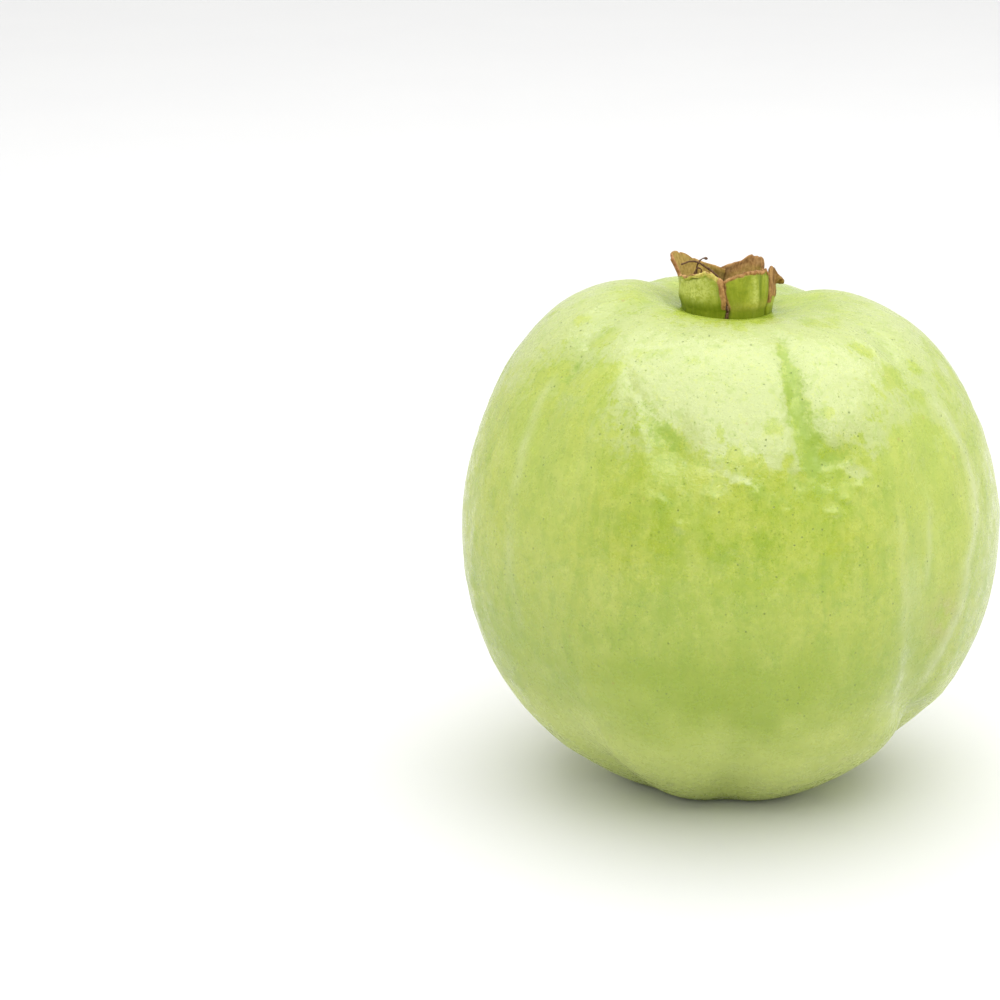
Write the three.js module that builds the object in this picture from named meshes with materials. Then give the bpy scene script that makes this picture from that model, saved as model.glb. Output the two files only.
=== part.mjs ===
// A whole guava standing on its stalk end, with the dried flower's calyx as a crown on top.
// Millimetres, +Z up. The origin is at the middle of the fruit's box, on the surface that it rests on.
// The crown faces up, and the side that is called the front faces -Y.
import * as THREE from "three";

// ---------- driving dimensions ----------
const CENTRE_Z = 43; // height of the point that the polar angles are measured from
const AROUND = 80; // facets round the fruit
// Half outline of the fruit's body, [radius, height], from the crown's floor over the shoulder to the resting ring
const BODY = [
  [0, 81.7],
  [4.5, 81.7],
  [7.6, 81.8],
  [10.2, 82.3],
  [13.4, 82.9],
  [17.8, 83.1],
  [23.4, 82.0],
  [29.6, 78.9],
  [35.4, 73.6],
  [40.4, 66.2],
  [43.9, 57.0],
  [45.5, 47.0],
  [44.9, 36.5],
  [42.0, 26.2],
  [37.0, 17.0],
  [30.6, 9.5],
  [23.6, 4.2],
  [18.8, 1.3],
  [15.4, 0.0],
];
const RING_INNER = 7.4; // inner radius of the small flat ring that the fruit rests on
// The dimple that the stalk grew from, [radius, height]
const DIMPLE = [
  [RING_INNER, 0],
  [6.2, 1.5],
  [4.4, 3.4],
  [2.2, 4.1],
  [0, 4.3],
];
const FLOOR_Z = 81.7; // the crown's floor
const CROWN_GAP = 0.65; // the sepals' middle line starts this far above that floor
const CROWN_X = -0.95; // the crown stands a little to the left of the fruit's axis

// Soft grooves between the fruit's ribs. Each row is polar angle, azimuth (0 front, + right), depth in mm, half width in degrees.
const GROOVES = [
  [[24, 15, 0, 5], [33, 14.5, 0.55, 4.6], [42, 13.5, 0.95, 4.4], [50, 13.3, 1.05, 4.6], [57, 15.2, 0.85, 5.5], [63, 16.5, 0.45, 7.5], [74, 17.5, 0.3, 9], [88, 18, 0, 9]],
  [[22, 66, 0, 9], [33, 59, 0.35, 8], [45, 53, 0.6, 8], [60, 48, 0.8, 8.5], [75, 44, 0.85, 9], [90, 41, 0.9, 9], [103, 41, 1.15, 8.5], [112, 43, 1.5, 8.5], [120, 48, 2, 9.5], [128, 61, 2.7, 9.5], [136, 65, 2.8, 9.5], [148, 64, 2.4, 10], [160, 58, 1.5, 12], [170, 56, 0.8, 14]],
  [[12, 142, 0.5, 18], [22, 141, 1.7, 15], [30, 140, 1.9, 13], [40, 134, 1.4, 12], [55, 124, 1, 12], [80, 112, 0.9, 11], [105, 106, 1.3, 10], [125, 107, 1.9, 9], [145, 108, 1.9, 10], [165, 108, 1, 14]],
  [[16, 172, 0.3, 16], [28, 170, 0.8, 14], [50, 166, 0.9, 13], [80, 163, 0.8, 13], [110, 164, 1.1, 12], [135, 166, 1.6, 11], [165, 168, 0.9, 14]],
  [[14, -134, 0.5, 16], [26, -135, 1, 13], [50, -137, 1, 12], [80, -138, 1, 12], [110, -136, 1.3, 11], [135, -134, 1.9, 10], [165, -132, 1, 14]],
  [[20, -98, 0, 12], [55, -97, 0.35, 12], [85, -96, 0.8, 12], [112, -95, 1.3, 11], [135, -93, 1.8, 10], [165, -92, 0.9, 14]],
  [[18, -72, 0.25, 14], [30, -63, 0.6, 12], [43, -57.5, 0.75, 11], [57, -54.5, 0.7, 11], [75, -51, 0.55, 12], [100, -49, 0.7, 12], [125, -47, 1.3, 11], [140, -46, 1.7, 10], [165, -45, 0.9, 14]],
  [[96, -6, 0, 12], [112, -5, 0.6, 11], [126, -3, 1.3, 10], [140, -2, 1.8, 9.5], [152, -2, 1.7, 10], [165, -2, 0.9, 14]],
];
// Swellings (+) and dents (-): polar angle, azimuth, height in mm, radius in degrees, stretch along the meridian, turn in degrees
const SWELLS = [
  [24, -96, 2.1, 14, 1.2, 0], [36, -88, 0.6, 12, 1.2, 0], [54, -84, 0.1, 16, 1.3, 0],
  [58.5, -17, -0.55, 3.6, 1.3, 10], [57, -23.5, 0.35, 2.2, 2.6, 12],
  [61, 23, -0.35, 4.5, 0.7, 0], [55, 22, 0.25, 5, 1.4, 20],
  [48, 0, 0.35, 9, 1.3, 0], [46, 30, 0.3, 9, 1.6, 10], [50, -32, 0.2, 9, 1.4, -10],
  [133, 22, 0.25, 13, 1, 0], [75, 0, 0.25, 16, 1.2, 0], [100, 12, 0.25, 12, 1.4, 0],
  [80, 72, 0.1, 14, 2, 0], [100, -75, 0.3, 14, 1.6, 0], [60, 140, 0.4, 18, 1.4, 0], [90, -165, 0.35, 16, 1.6, 0], [70, -118, 0.3, 12, 1.8, 0],
  [128, -25, 0.35, 13, 1, 0], [128, -70, 0.3, 12, 1, 0], [125, 135, 0.4, 14, 1, 0], [126, -165, 0.4, 14, 1, 0], [126, -115, 0.3, 12, 1, 0],
  [38, 92, 0.35, 12, 1.2, 0], [38, 162, 0.2, 9, 1.2, 0], [36, -160, 0.3, 12, 1.2, 0], [37, -112, 0.2, 10, 1.2, 0],
  [92, 28, 0.2, 7, 1.6, 0], [84, 55, 0.2, 6, 2.4, 0],
];

// ---------- small maths ----------
const rad = (d) => (d * Math.PI) / 180;
const clamp01 = (x) => Math.min(1, Math.max(0, x));
const smooth = (a, b, x) => {
  const t = clamp01((x - a) / (b - a));
  return t * t * (3 - 2 * t);
};
// Smooth curve through (T, Y); start and end slopes may be given
function hermite(T, Y, x, m0, m1) {
  const n = T.length;
  x = Math.min(T[n - 1], Math.max(T[0], x));
  let i = 0;
  while (i < n - 2 && x >= T[i + 1]) i++;
  const slope = (k) => {
    if (k === 0) return m0 ?? (Y[1] - Y[0]) / (T[1] - T[0]);
    if (k === n - 1) return m1 ?? (Y[n - 1] - Y[n - 2]) / (T[n - 1] - T[n - 2]);
    const ha = T[k] - T[k - 1], hb = T[k + 1] - T[k];
    return (((Y[k] - Y[k - 1]) / ha) * hb + ((Y[k + 1] - Y[k]) / hb) * ha) / (ha + hb);
  };
  const h = T[i + 1] - T[i], s = (x - T[i]) / h;
  return (
    (2 * s ** 3 - 3 * s ** 2 + 1) * Y[i] + (s ** 3 - 2 * s ** 2 + s) * h * slope(i) +
    (-2 * s ** 3 + 3 * s ** 2) * Y[i + 1] + (s ** 3 - s ** 2) * h * slope(i + 1)
  );
}
const chords = (P) => P.reduce((T, p, i) => (i ? [...T, T[i - 1] + Math.hypot(p[0] - P[i - 1][0], p[1] - P[i - 1][1])] : [0]), []);

// ---------- the fruit's surface ----------
const T = chords(BODY), BR = BODY.map((p) => p[0]), BZ = BODY.map((p) => p[1]);
const bodyAt = (t) => [hermite(T, BR, t, 1, -1), hermite(T, BZ, t, 0, -0.06)];
const angle = (a, b) => ((((a - b + 180) % 360) + 360) % 360) - 180;
const column = (g, k) => g.map((row) => row[k]);
const GROOVE_COLUMNS = GROOVES.map((g) => [0, 1, 2, 3].map((k) => column(g, k)));

// Height of the real skin over the plain body at a polar angle and azimuth
function relief(theta, phi) {
  let d = 0;
  for (const [th, az, depth, width] of GROOVE_COLUMNS) {
    if (theta < th[0] || theta > th[th.length - 1]) continue;
    d -= hermite(th, depth, theta) * Math.exp(-((angle(phi, hermite(th, az, theta)) / hermite(th, width, theta)) ** 2));
  }
  const a = rad(theta), b = rad(phi);
  const X = Math.sin(a) * Math.sin(b), Y = -Math.sin(a) * Math.cos(b), Z = Math.cos(a);
  for (const [st, sp, high, size, stretch, turn] of SWELLS) {
    const t = rad(st), p = rad(sp), r = rad(turn), s = Math.sin(rad(size));
    const c = [Math.sin(t) * Math.sin(p), -Math.sin(t) * Math.cos(p), Math.cos(t)];
    const e1 = [Math.cos(p), Math.sin(p), 0];
    const e2 = [c[1] * e1[2] - c[2] * e1[1], c[2] * e1[0] - c[0] * e1[2], c[0] * e1[1] - c[1] * e1[0]];
    const v = [X - c[0], Y - c[1], Z - c[2]];
    const dot = (q) => v[0] * q[0] + v[1] * q[1] + v[2] * q[2];
    const u1 = dot(e1), u2 = dot(e2), u3 = dot(c);
    const f1 = u1 * Math.cos(r) + u2 * Math.sin(r), f2 = -u1 * Math.sin(r) + u2 * Math.cos(r);
    d += high * Math.exp(-((f1 / s) ** 2 + (f2 / (s * stretch)) ** 2 + (u3 / s) ** 2) / 2);
  }
  return d;
}

// Point of the skin: t runs down the outline, phi goes round
function skin(t, phi) {
  const [r, z] = bodyAt(t);
  const [ra, za] = bodyAt(t - 1e-3), [rb, zb] = bodyAt(t + 1e-3);
  const len = Math.hypot(rb - ra, zb - za) + 1e-12;
  const nr = -(zb - za) / len, nz = (rb - ra) / len;
  const theta = (Math.atan2(r, z - CENTRE_Z) * 180) / Math.PI;
  const low = 1 - smooth(T[15], T[18], t); // near the resting ring the relief only moves outwards, so the ring stays flat
  const out = t > T[15] ? nr + (1 - nr) * (1 - low) : nr;
  const d = relief(theta, phi) * smooth(T[2] - 1, T[5], t);
  const R = r + d * out, b = rad(phi);
  return [R * Math.sin(b), -R * Math.cos(b), z + d * nz * low];
}

// Rings of points from pole to pole, closed into one skin
function closedRings(top, rings, bottom) {
  const n = rings[0].length, position = [...top], index = [];
  for (const ring of rings) for (const p of ring) position.push(...p);
  position.push(...bottom);
  const at = (i, j) => 1 + i * n + (j % n), last = 1 + rings.length * n;
  for (let j = 0; j < n; j++) {
    index.push(0, at(0, j), at(0, j + 1));
    index.push(last, at(rings.length - 1, j + 1), at(rings.length - 1, j));
    for (let i = 0; i < rings.length - 1; i++) index.push(at(i, j), at(i + 1, j), at(i + 1, j + 1), at(i, j), at(i + 1, j + 1), at(i, j + 1));
  }
  const g = new THREE.BufferGeometry();
  g.setAttribute("position", new THREE.Float32BufferAttribute(position, 3));
  g.setIndex(index);
  g.computeVertexNormals();
  return g;
}

function fruitGeometry() {
  const azimuths = Array.from({ length: AROUND }, (_, j) => (360 * j) / AROUND - 180);
  const rings = [];
  // stations down the outline, about 4 mm apart
  const stations = [T[1], T[2], T[3], T[4], T[5]];
  for (let i = 5; i < 18; i++) {
    const parts = Math.max(1, Math.round((T[i + 1] - T[i]) / 4.3));
    for (let k = 1; k <= parts; k++) stations.push(T[i] + ((T[i + 1] - T[i]) * k) / parts);
  }
  for (const t of stations) rings.push(azimuths.map((phi) => skin(t, phi)));
  for (const p of rings[rings.length - 1]) p[2] = 0;
  const DT = chords(DIMPLE), DR = DIMPLE.map((p) => p[0]), DZ = DIMPLE.map((p) => p[1]);
  for (const t of [0, DT[1] * 0.55, DT[1], DT[2], DT[3]]) {
    const r = hermite(DT, DR, t, -0.3, -1), z = hermite(DT, DZ, t, 0.95, 0);
    rings.push(azimuths.map((phi) => {
      const wave = 1 + 0.035 * Math.cos(rad(5 * phi + 30)) + 0.02 * Math.cos(rad(3 * phi - 70));
      return [r * wave * Math.sin(rad(phi)), -r * wave * Math.cos(rad(phi)), z];
    }));
  }
  return closedRings([0, 0, FLOOR_Z], rings, [0, 0, 4.3]);
}

// ---------- the crown's sepals ----------
// Each sepal is a sheet through a net of points, [azimuth, radius, height over the crown's floor], from its foot (first row) to its rim.
const FOOT = (list) => list.map((az) => [az, 6.9, CROWN_GAP]);
const SEPALS = {
  sepal_front_left: {
    net: [
      FOOT([-88, -71, -54, -37, -20, -6.5]),
      [[-88, 7.5, 2.6], [-71.5, 7.5, 2.6], [-55, 7.5, 2.6], [-38, 7.5, 2.6], [-21, 7.5, 2.6], [-5.5, 7.45, 2.5]],
      [[-88, 7.7, 4.4], [-72, 7.65, 4.7], [-55, 7.65, 5.0], [-39, 7.65, 5.4], [-23, 7.65, 5.6], [-9.5, 7.6, 4.8]],
      [[-88, 7.75, 6.3], [-72, 7.65, 6.6], [-55, 7.6, 7.2], [-40, 7.65, 7.95], [-26, 7.6, 8.45], [-10.5, 7.5, 6.6]],
    ],
    thick: [0.95, 0.9, 0.75, 0.5],
  },
  sepal_front_right: {
    net: [
      FOOT([-1, 10, 21, 32, 43, 53]),
      [[-2.4, 7.45, 2.5], [9, 7.5, 2.6], [21, 7.5, 2.6], [33, 7.5, 2.6], [44, 7.5, 2.6], [53.5, 7.5, 2.6]],
      [[-6, 7.65, 4.6], [7, 7.7, 5.4], [20, 7.7, 5.6], [32, 7.7, 5.6], [44, 7.7, 5.5], [54, 7.7, 5.3]],
      [[-6.6, 7.65, 6.7], [5, 7.7, 7.7], [18, 7.7, 8.4], [31, 7.75, 8.6], [44, 7.75, 8.25], [54, 7.7, 7.8]],
    ],
    thick: [0.95, 0.9, 0.75, 0.5],
  },
  sepal_right: {
    net: [
      FOOT([56.5, 68, 79, 90, 101]),
      [[57, 7.5, 2.4], [69, 7.5, 2.5], [80, 7.5, 2.5], [91, 7.5, 2.4], [101, 7.45, 2.3]],
      [[57.5, 7.7, 5.4], [69, 7.75, 5.5], [80, 8.0, 5.0], [91, 8.1, 4.5], [101, 7.9, 3.9]],
      [[58, 7.8, 8.0], [70, 7.9, 8.1], [79, 8.85, 6.5], [88, 9.1, 5.5], [100, 8.6, 4.8]],
    ],
    thick: [0.95, 0.85, 0.65, 0.45],
  },
  sepal_back_right: {
    net: [
      FOOT([104.5, 120, 136, 152, 168, 181]),
      [[104.5, 7.45, 2.3], [120, 7.45, 2.3], [136, 7.5, 2.6], [152, 7.5, 2.6], [168, 7.45, 2.4], [181, 7.45, 2.2]],
      [[104.5, 7.6, 3.4], [118, 7.6, 3.6], [134, 7.8, 5.0], [150, 7.8, 5.1], [167, 7.75, 4.4], [181, 7.65, 3.7]],
      [[104.5, 7.7, 4.3], [117, 7.8, 4.7], [132, 8.15, 8.0], [146, 8.2, 7.95], [163, 8.0, 6.4], [180.5, 7.8, 5.0]],
    ],
    thick: [0.95, 0.8, 0.6, 0.45],
  },
  sepal_back_left: {
    net: [
      FOOT([-92, -109, -126, -143, -160, -175.5]),
      [[-92, 7.5, 2.6], [-109, 7.5, 2.6], [-126, 7.5, 2.6], [-143, 7.5, 2.5], [-160, 7.45, 2.4], [-175.5, 7.45, 2.2]],
      [[-92, 7.85, 5.6], [-107, 7.9, 5.9], [-123, 7.9, 5.6], [-141, 7.8, 5.0], [-159, 7.7, 4.3], [-175.5, 7.65, 3.6]],
      [[-92, 9.4, 9.3], [-104, 9.1, 9.5], [-121, 8.7, 8.9], [-139, 8.3, 7.7], [-156, 8.0, 6.3], [-175.5, 7.8, 5.0]],
    ],
    thick: [0.95, 0.8, 0.6, 0.45],
  },
};

function sepalGeometry({ net, thick }) {
  const rows = net.length, cols = net[0].length, NU = 2 * (cols - 1) + 2, NV = 8;
  const U = net[0].map((_, i) => i / (cols - 1)), V = net.map((_, i) => i / (rows - 1));
  const point = (u, v) => {
    const q = [0, 1, 2].map((k) => hermite(V, net.map((row) => hermite(U, row.map((c) => c[k]), u)), v));
    const b = rad(q[0]);
    return new THREE.Vector3(q[1] * Math.sin(b), -q[1] * Math.cos(b), FLOOR_Z + q[2]);
  };
  const sheet = (side) => (u, v) => {
    const e = 1e-3, a = Math.max(0, u - e), b = Math.min(1, u + e), c = Math.max(0, v - e), d = Math.min(1, v + e);
    const du = point(b, v).sub(point(a, v)), dv = point(u, d).sub(point(u, c));
    const n = du.cross(dv).normalize();
    if (n.dot(point(u, v).setZ(0)) < 0) n.negate(); // away from the crown's axis
    return point(u, v).addScaledVector(n, (side * hermite(V, thick, v)) / 2);
  };
  const outer = sheet(1), inner = sheet(-1), position = [], index = [];
  for (const f of [outer, inner]) for (let j = 0; j <= NV; j++) for (let i = 0; i <= NU; i++) position.push(...f(i / NU, j / NV).toArray());
  const w = NU + 1, base = w * (NV + 1), o = (i, j) => j * w + i, n = (i, j) => base + j * w + i;
  const forward = net[0][cols - 1][0] > net[0][0][0]; // azimuth rising along the net
  const quad = (a, b, c, d) => (forward ? index.push(a, b, c, a, c, d) : index.push(a, c, b, a, d, c));
  for (let j = 0; j < NV; j++) for (let i = 0; i < NU; i++) {
    quad(o(i, j), o(i + 1, j), o(i + 1, j + 1), o(i, j + 1));
    quad(n(i, j), n(i, j + 1), n(i + 1, j + 1), n(i + 1, j));
  }
  for (let i = 0; i < NU; i++) {
    quad(n(i, 0), n(i + 1, 0), o(i + 1, 0), o(i, 0));
    quad(o(i, NV), o(i + 1, NV), n(i + 1, NV), n(i, NV));
  }
  for (let j = 0; j < NV; j++) {
    quad(n(0, j), o(0, j), o(0, j + 1), n(0, j + 1));
    quad(o(NU, j), n(NU, j), n(NU, j + 1), o(NU, j + 1));
  }
  const g = new THREE.BufferGeometry();
  g.setAttribute("position", new THREE.Float32BufferAttribute(position, 3));
  g.setIndex(index);
  g.computeVertexNormals();
  return g;
}

// ---------- dried threads left in the crown ----------
// [x, y, height over the crown's floor], and the thread's diameter
const THREADS = {
  dried_style: { d: 0.42, path: [[0.3, 0.5, 0.5], [0, 0.3, 2.5], [-1.2, 0.1, 4.9], [-3.25, 0, 7.15], [-4.26, 0, 7.8], [-4.95, 0, 8.15], [-5.95, 0, 8.3], [-7.1, 0.1, 8.05], [-7.75, 0.1, 7.75]] },
  dried_stamen_1: { d: 0.38, path: [[-4.2, 1.8, 0.5], [-4.9, 1.5, 3.0], [-5.05, 1.1, 6.0], [-4.8, 0.9, 7.8], [-4.35, 0.85, 8.45], [-4.0, 0.85, 8.65], [-3.3, 0.85, 8.6]] },
  dried_stamen_2: { d: 0.38, path: [[3.6, 1.8, 0.5], [4.2, 1.4, 2.4], [3.9, 0.2, 4.2], [2.9, -1.2, 5.0], [1.9, -2.2, 4.6]] },
  dried_stamen_3: { d: 0.38, path: [[0.6, -3.9, 0.5], [0.2, -4.6, 2.0], [-1.2, -4.9, 3.4], [-2.6, -4.3, 3.9]] },
  dried_stamen_4: { d: 0.38, path: [[-0.6, 4.2, 0.5], [0.4, 4.9, 2.2], [1.9, 4.8, 3.7], [3.3, 3.9, 4.2]] },
};

function threadGeometry({ d, path }) {
  const round = new THREE.Shape();
  for (let k = 0; k < 7; k++) {
    const a = (2 * Math.PI * k) / 7, x = (d / 2) * Math.cos(a), y = (d / 2) * Math.sin(a);
    if (k) round.lineTo(x, y);
    else round.moveTo(x, y);
  }
  round.closePath();
  const line = new THREE.CatmullRomCurve3(path.map(([x, y, h]) => new THREE.Vector3(x, y, FLOOR_Z + h)));
  return new THREE.ExtrudeGeometry(round, { steps: 14, extrudePath: line, bevelEnabled: false });
}

// ---------- the stalk's stub, in the dimple, clear of the surface below ----------
const STUB = [
  [0, 1.0],
  [1.7, 1.1],
  [2.25, 1.5],
  [2.15, 2.6],
  [2.2, 3.55],
  [1.5, 3.75],
  [0, 3.8],
];
function stubGeometry() {
  const g = new THREE.LatheGeometry(STUB.map(([r, z]) => new THREE.Vector2(r, z)), 18);
  g.rotateX(Math.PI / 2); // the lathe turns about Y; the stub stands along Z
  return g;
}

// ---------- materials ----------
const skinMaterial = new THREE.MeshStandardMaterial({ color: 0xb6cc62, roughness: 0.42, metalness: 0 });
const greenSepal = new THREE.MeshStandardMaterial({ color: 0x9caa3e, roughness: 0.55, metalness: 0 });
const drySepal = new THREE.MeshStandardMaterial({ color: 0xa07a48, roughness: 0.8, metalness: 0 });
const thread = new THREE.MeshStandardMaterial({ color: 0x4a3424, roughness: 0.85, metalness: 0 });
const wood = new THREE.MeshStandardMaterial({ color: 0x7d6a4a, roughness: 0.85, metalness: 0 });

// ---------- assembly ----------
const guava = new THREE.Group();
const add = (parent, name, geometry, material) => {
  const mesh = new THREE.Mesh(geometry, material);
  mesh.name = name;
  parent.add(mesh);
  return mesh;
};
add(guava, "fruit", fruitGeometry(), skinMaterial);
const crown = new THREE.Group();
crown.position.x = CROWN_X;
guava.add(crown);
for (const [name, sepal] of Object.entries(SEPALS)) add(crown, name, sepalGeometry(sepal), name.startsWith("sepal_front") ? greenSepal : drySepal);
for (const [name, strand] of Object.entries(THREADS)) add(crown, name, threadGeometry(strand), thread);
add(guava, "stalk_stub", stubGeometry(), wood);

export default guava;
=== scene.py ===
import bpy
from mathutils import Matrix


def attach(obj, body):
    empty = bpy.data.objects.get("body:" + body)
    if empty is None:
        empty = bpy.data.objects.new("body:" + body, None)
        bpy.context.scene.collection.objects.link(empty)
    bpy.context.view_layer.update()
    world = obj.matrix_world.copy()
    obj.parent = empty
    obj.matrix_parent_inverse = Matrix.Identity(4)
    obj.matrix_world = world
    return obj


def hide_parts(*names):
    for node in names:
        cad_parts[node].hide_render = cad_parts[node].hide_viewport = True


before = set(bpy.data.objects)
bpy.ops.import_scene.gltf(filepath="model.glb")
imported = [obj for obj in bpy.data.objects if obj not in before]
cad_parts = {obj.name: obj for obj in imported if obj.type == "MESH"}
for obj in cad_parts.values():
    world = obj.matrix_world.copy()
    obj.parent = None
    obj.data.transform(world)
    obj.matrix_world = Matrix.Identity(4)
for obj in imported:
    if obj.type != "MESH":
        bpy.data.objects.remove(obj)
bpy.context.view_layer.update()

import math
import bpy
import numpy as np

# A whole guava standing on its stalk end. Shapes are worked out in millimetres and written in metres.
MM = 0.001

# ---------------------------------------------------------------- camera and light
ELEVATION = math.radians(16.0)
LENS, SENSOR = 120.0, 36.0
PER_RADIAN = LENS / SENSOR * 1000.0  # pixels of a 1000 pixel frame per unit of slope
SCALE = 5.87  # pixels per mm at the fruit's middle
DISTANCE = PER_RADIAN / SCALE  # mm
OFF_X, OFF_Y = (728 - 500) / PER_RADIAN * DISTANCE, (532 - 500) / PER_RADIAN * DISTANCE
forward = np.array([0, math.cos(ELEVATION), -math.sin(ELEVATION)])
upward = np.array([0, math.sin(ELEVATION), math.cos(ELEVATION)])
eye = np.array([0, 0, 43.0]) - forward * DISTANCE - np.array([1.0, 0, 0]) * OFF_X + upward * OFF_Y

camera_data = bpy.data.cameras.new("camera")
camera_data.lens = LENS
camera_data.sensor_width = SENSOR
camera_data.clip_start = 0.01
camera_data.clip_end = 20
camera = bpy.data.objects.new("camera", camera_data)
camera.location = eye * MM
camera.rotation_euler = (math.pi / 2 - ELEVATION, 0, 0)
bpy.context.scene.collection.objects.link(camera)
bpy.context.scene.camera = camera


def softbox(name, place, target, size_x, size_y, watts, colour=(1, 1, 1), spread=180):
    data = bpy.data.lights.new(name, "AREA")
    data.shape = "RECTANGLE"
    data.size, data.size_y = size_x, size_y
    data.energy = watts
    data.color = colour
    data.spread = math.radians(spread)
    lamp = bpy.data.objects.new(name, data)
    lamp.location = place
    away = np.array(place) - np.array(target)
    flat = math.hypot(away[0], away[1])
    lamp.rotation_euler = (math.atan2(flat, away[2]), 0, math.atan2(away[0], -away[1]) if flat > 1e-9 else 0)
    bpy.context.scene.collection.objects.link(lamp)
    return lamp


SOFTBOX_LIGHT, FRONT_LIGHT, SIDE_LIGHT = 2.1, 0.22, 0.85
# a wide diffuser overhead, and two fills in front that leave no reflection of their own
softbox("overhead_softbox", (0.12, -0.16, 0.80), (0.12, -0.16, 0), 1.2, 1.5, SOFTBOX_LIGHT * math.pi * 1.2 * 1.5)
softbox("front_fill", (-0.35, -1.10, 0.72), (0, 0, 0.05), 1.0, 0.8, 5.6).visible_glossy = False
softbox("right_fill", (1.1, -0.5, 0.35), (0, 0, 0.04), 0.8, 0.8, 2.7).visible_glossy = False

softbox("floor_wash", (-0.3, 1.9, 1.3), (-0.3, 1.9, 0), 3.4, 2.0, 26).visible_glossy = False


def studio():
    """A white studio: pale walls at the sides and behind, and a dimmer room in front."""
    world = bpy.data.worlds.new("studio")
    bpy.context.scene.world = world
    world.use_nodes = True
    tree = world.node_tree
    background = tree.nodes["Background"]
    split = tree.nodes.new("ShaderNodeSeparateXYZ")
    tree.links.new(tree.nodes.new("ShaderNodeTexCoord").outputs["Generated"], split.inputs[0])

    def band(value, low, high, to_low, to_high):
        n = tree.nodes.new("ShaderNodeMapRange")
        n.interpolation_type = "SMOOTHSTEP"
        tree.links.new(value, n.inputs["Value"])
        for key, v in (("From Min", low), ("From Max", high)):
            n.inputs[key].default_value = v
        for key, v in (("To Min", to_low), ("To Max", to_high)):
            if isinstance(v, bpy.types.NodeSocket):
                tree.links.new(v, n.inputs[key])
            else:
                n.inputs[key].default_value = v
        return n.outputs["Result"]

    walls = band(split.outputs["Y"], -0.8, -0.1, FRONT_LIGHT, SIDE_LIGHT)
    tree.links.new(band(split.outputs["Z"], 0.5, 0.8, walls, 0.35), background.inputs["Strength"])
    background.inputs["Color"].default_value = (1.0, 0.998, 0.99, 1)


studio()

scene = bpy.context.scene
scene.view_settings.view_transform = "Standard"
scene.view_settings.look = "None"
scene.view_settings.exposure = 0.0
scene.view_settings.gamma = 1.0


# ---------------------------------------------------------------- small maths
def clip01(x):
    return np.clip(x, 0.0, 1.0)


def smooth(a, b, x):
    t = clip01((np.asarray(x, float) - a) / (b - a))
    return t * t * (3 - 2 * t)


def hermite(T, Y, x, m0=None, m1=None):
    """Smooth curve through (T, Y), as in the solid model; Y may hold one row per column of T."""
    T = np.asarray(T, float)
    Y = np.asarray(Y, float)
    x = np.clip(np.asarray(x, float), T[0], T[-1])
    h = np.diff(T)
    s = np.diff(Y) / h
    m = np.empty_like(Y)
    m[0] = s[0] if m0 is None else m0
    m[-1] = s[-1] if m1 is None else m1
    m[1:-1] = (s[:-1] * h[1:] + s[1:] * h[:-1]) / (h[:-1] + h[1:])
    i = np.clip(np.searchsorted(T, x, side="right") - 1, 0, len(T) - 2)
    H, u = h[i], (x - T[i]) / h[i]
    return (2 * u**3 - 3 * u**2 + 1) * Y[i] + (u**3 - 2 * u**2 + u) * H * m[i] + (-2 * u**3 + 3 * u**2) * Y[i + 1] + (u**3 - u**2) * H * m[i + 1]


def chords(P):
    P = np.asarray(P, float)
    return np.concatenate([[0], np.cumsum(np.linalg.norm(np.diff(P, axis=0), axis=1))])


def hashed(i, j, k, seed):
    """A repeatable number from 0 to 1 for each lattice point."""
    n = (i.astype(np.int64) * 73856093) ^ (j.astype(np.int64) * 19349663) ^ (k.astype(np.int64) * 83492791) ^ (seed * 2654435761)
    n = (n ^ (n >> 13)) * 1274126177 & 0xFFFFFFFF
    n = (n ^ (n >> 16)) * 2246822519 & 0xFFFFFFFF
    return ((n ^ (n >> 15)) & 0xFFFFFF) / float(0xFFFFFF)


def noise(x, y, z, size, seed):
    """Smooth value noise, about -1 to 1, with features of that size."""
    x, y, z = x / size, y / size, z / size
    i, j, k = np.floor(x), np.floor(y), np.floor(z)
    u, v, w = x - i, y - j, z - k
    i, j, k = i.astype(np.int64), j.astype(np.int64), k.astype(np.int64)
    u, v, w = [q * q * q * (q * (q * 6 - 15) + 10) for q in (u, v, w)]
    total = 0.0
    for a in (0, 1):
        for b in (0, 1):
            for c in (0, 1):
                weight = (u if a else 1 - u) * (v if b else 1 - v) * (w if c else 1 - w)
                total = total + weight * hashed(i + a, j + b, k + c, seed)
    return total * 2 - 1


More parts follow.
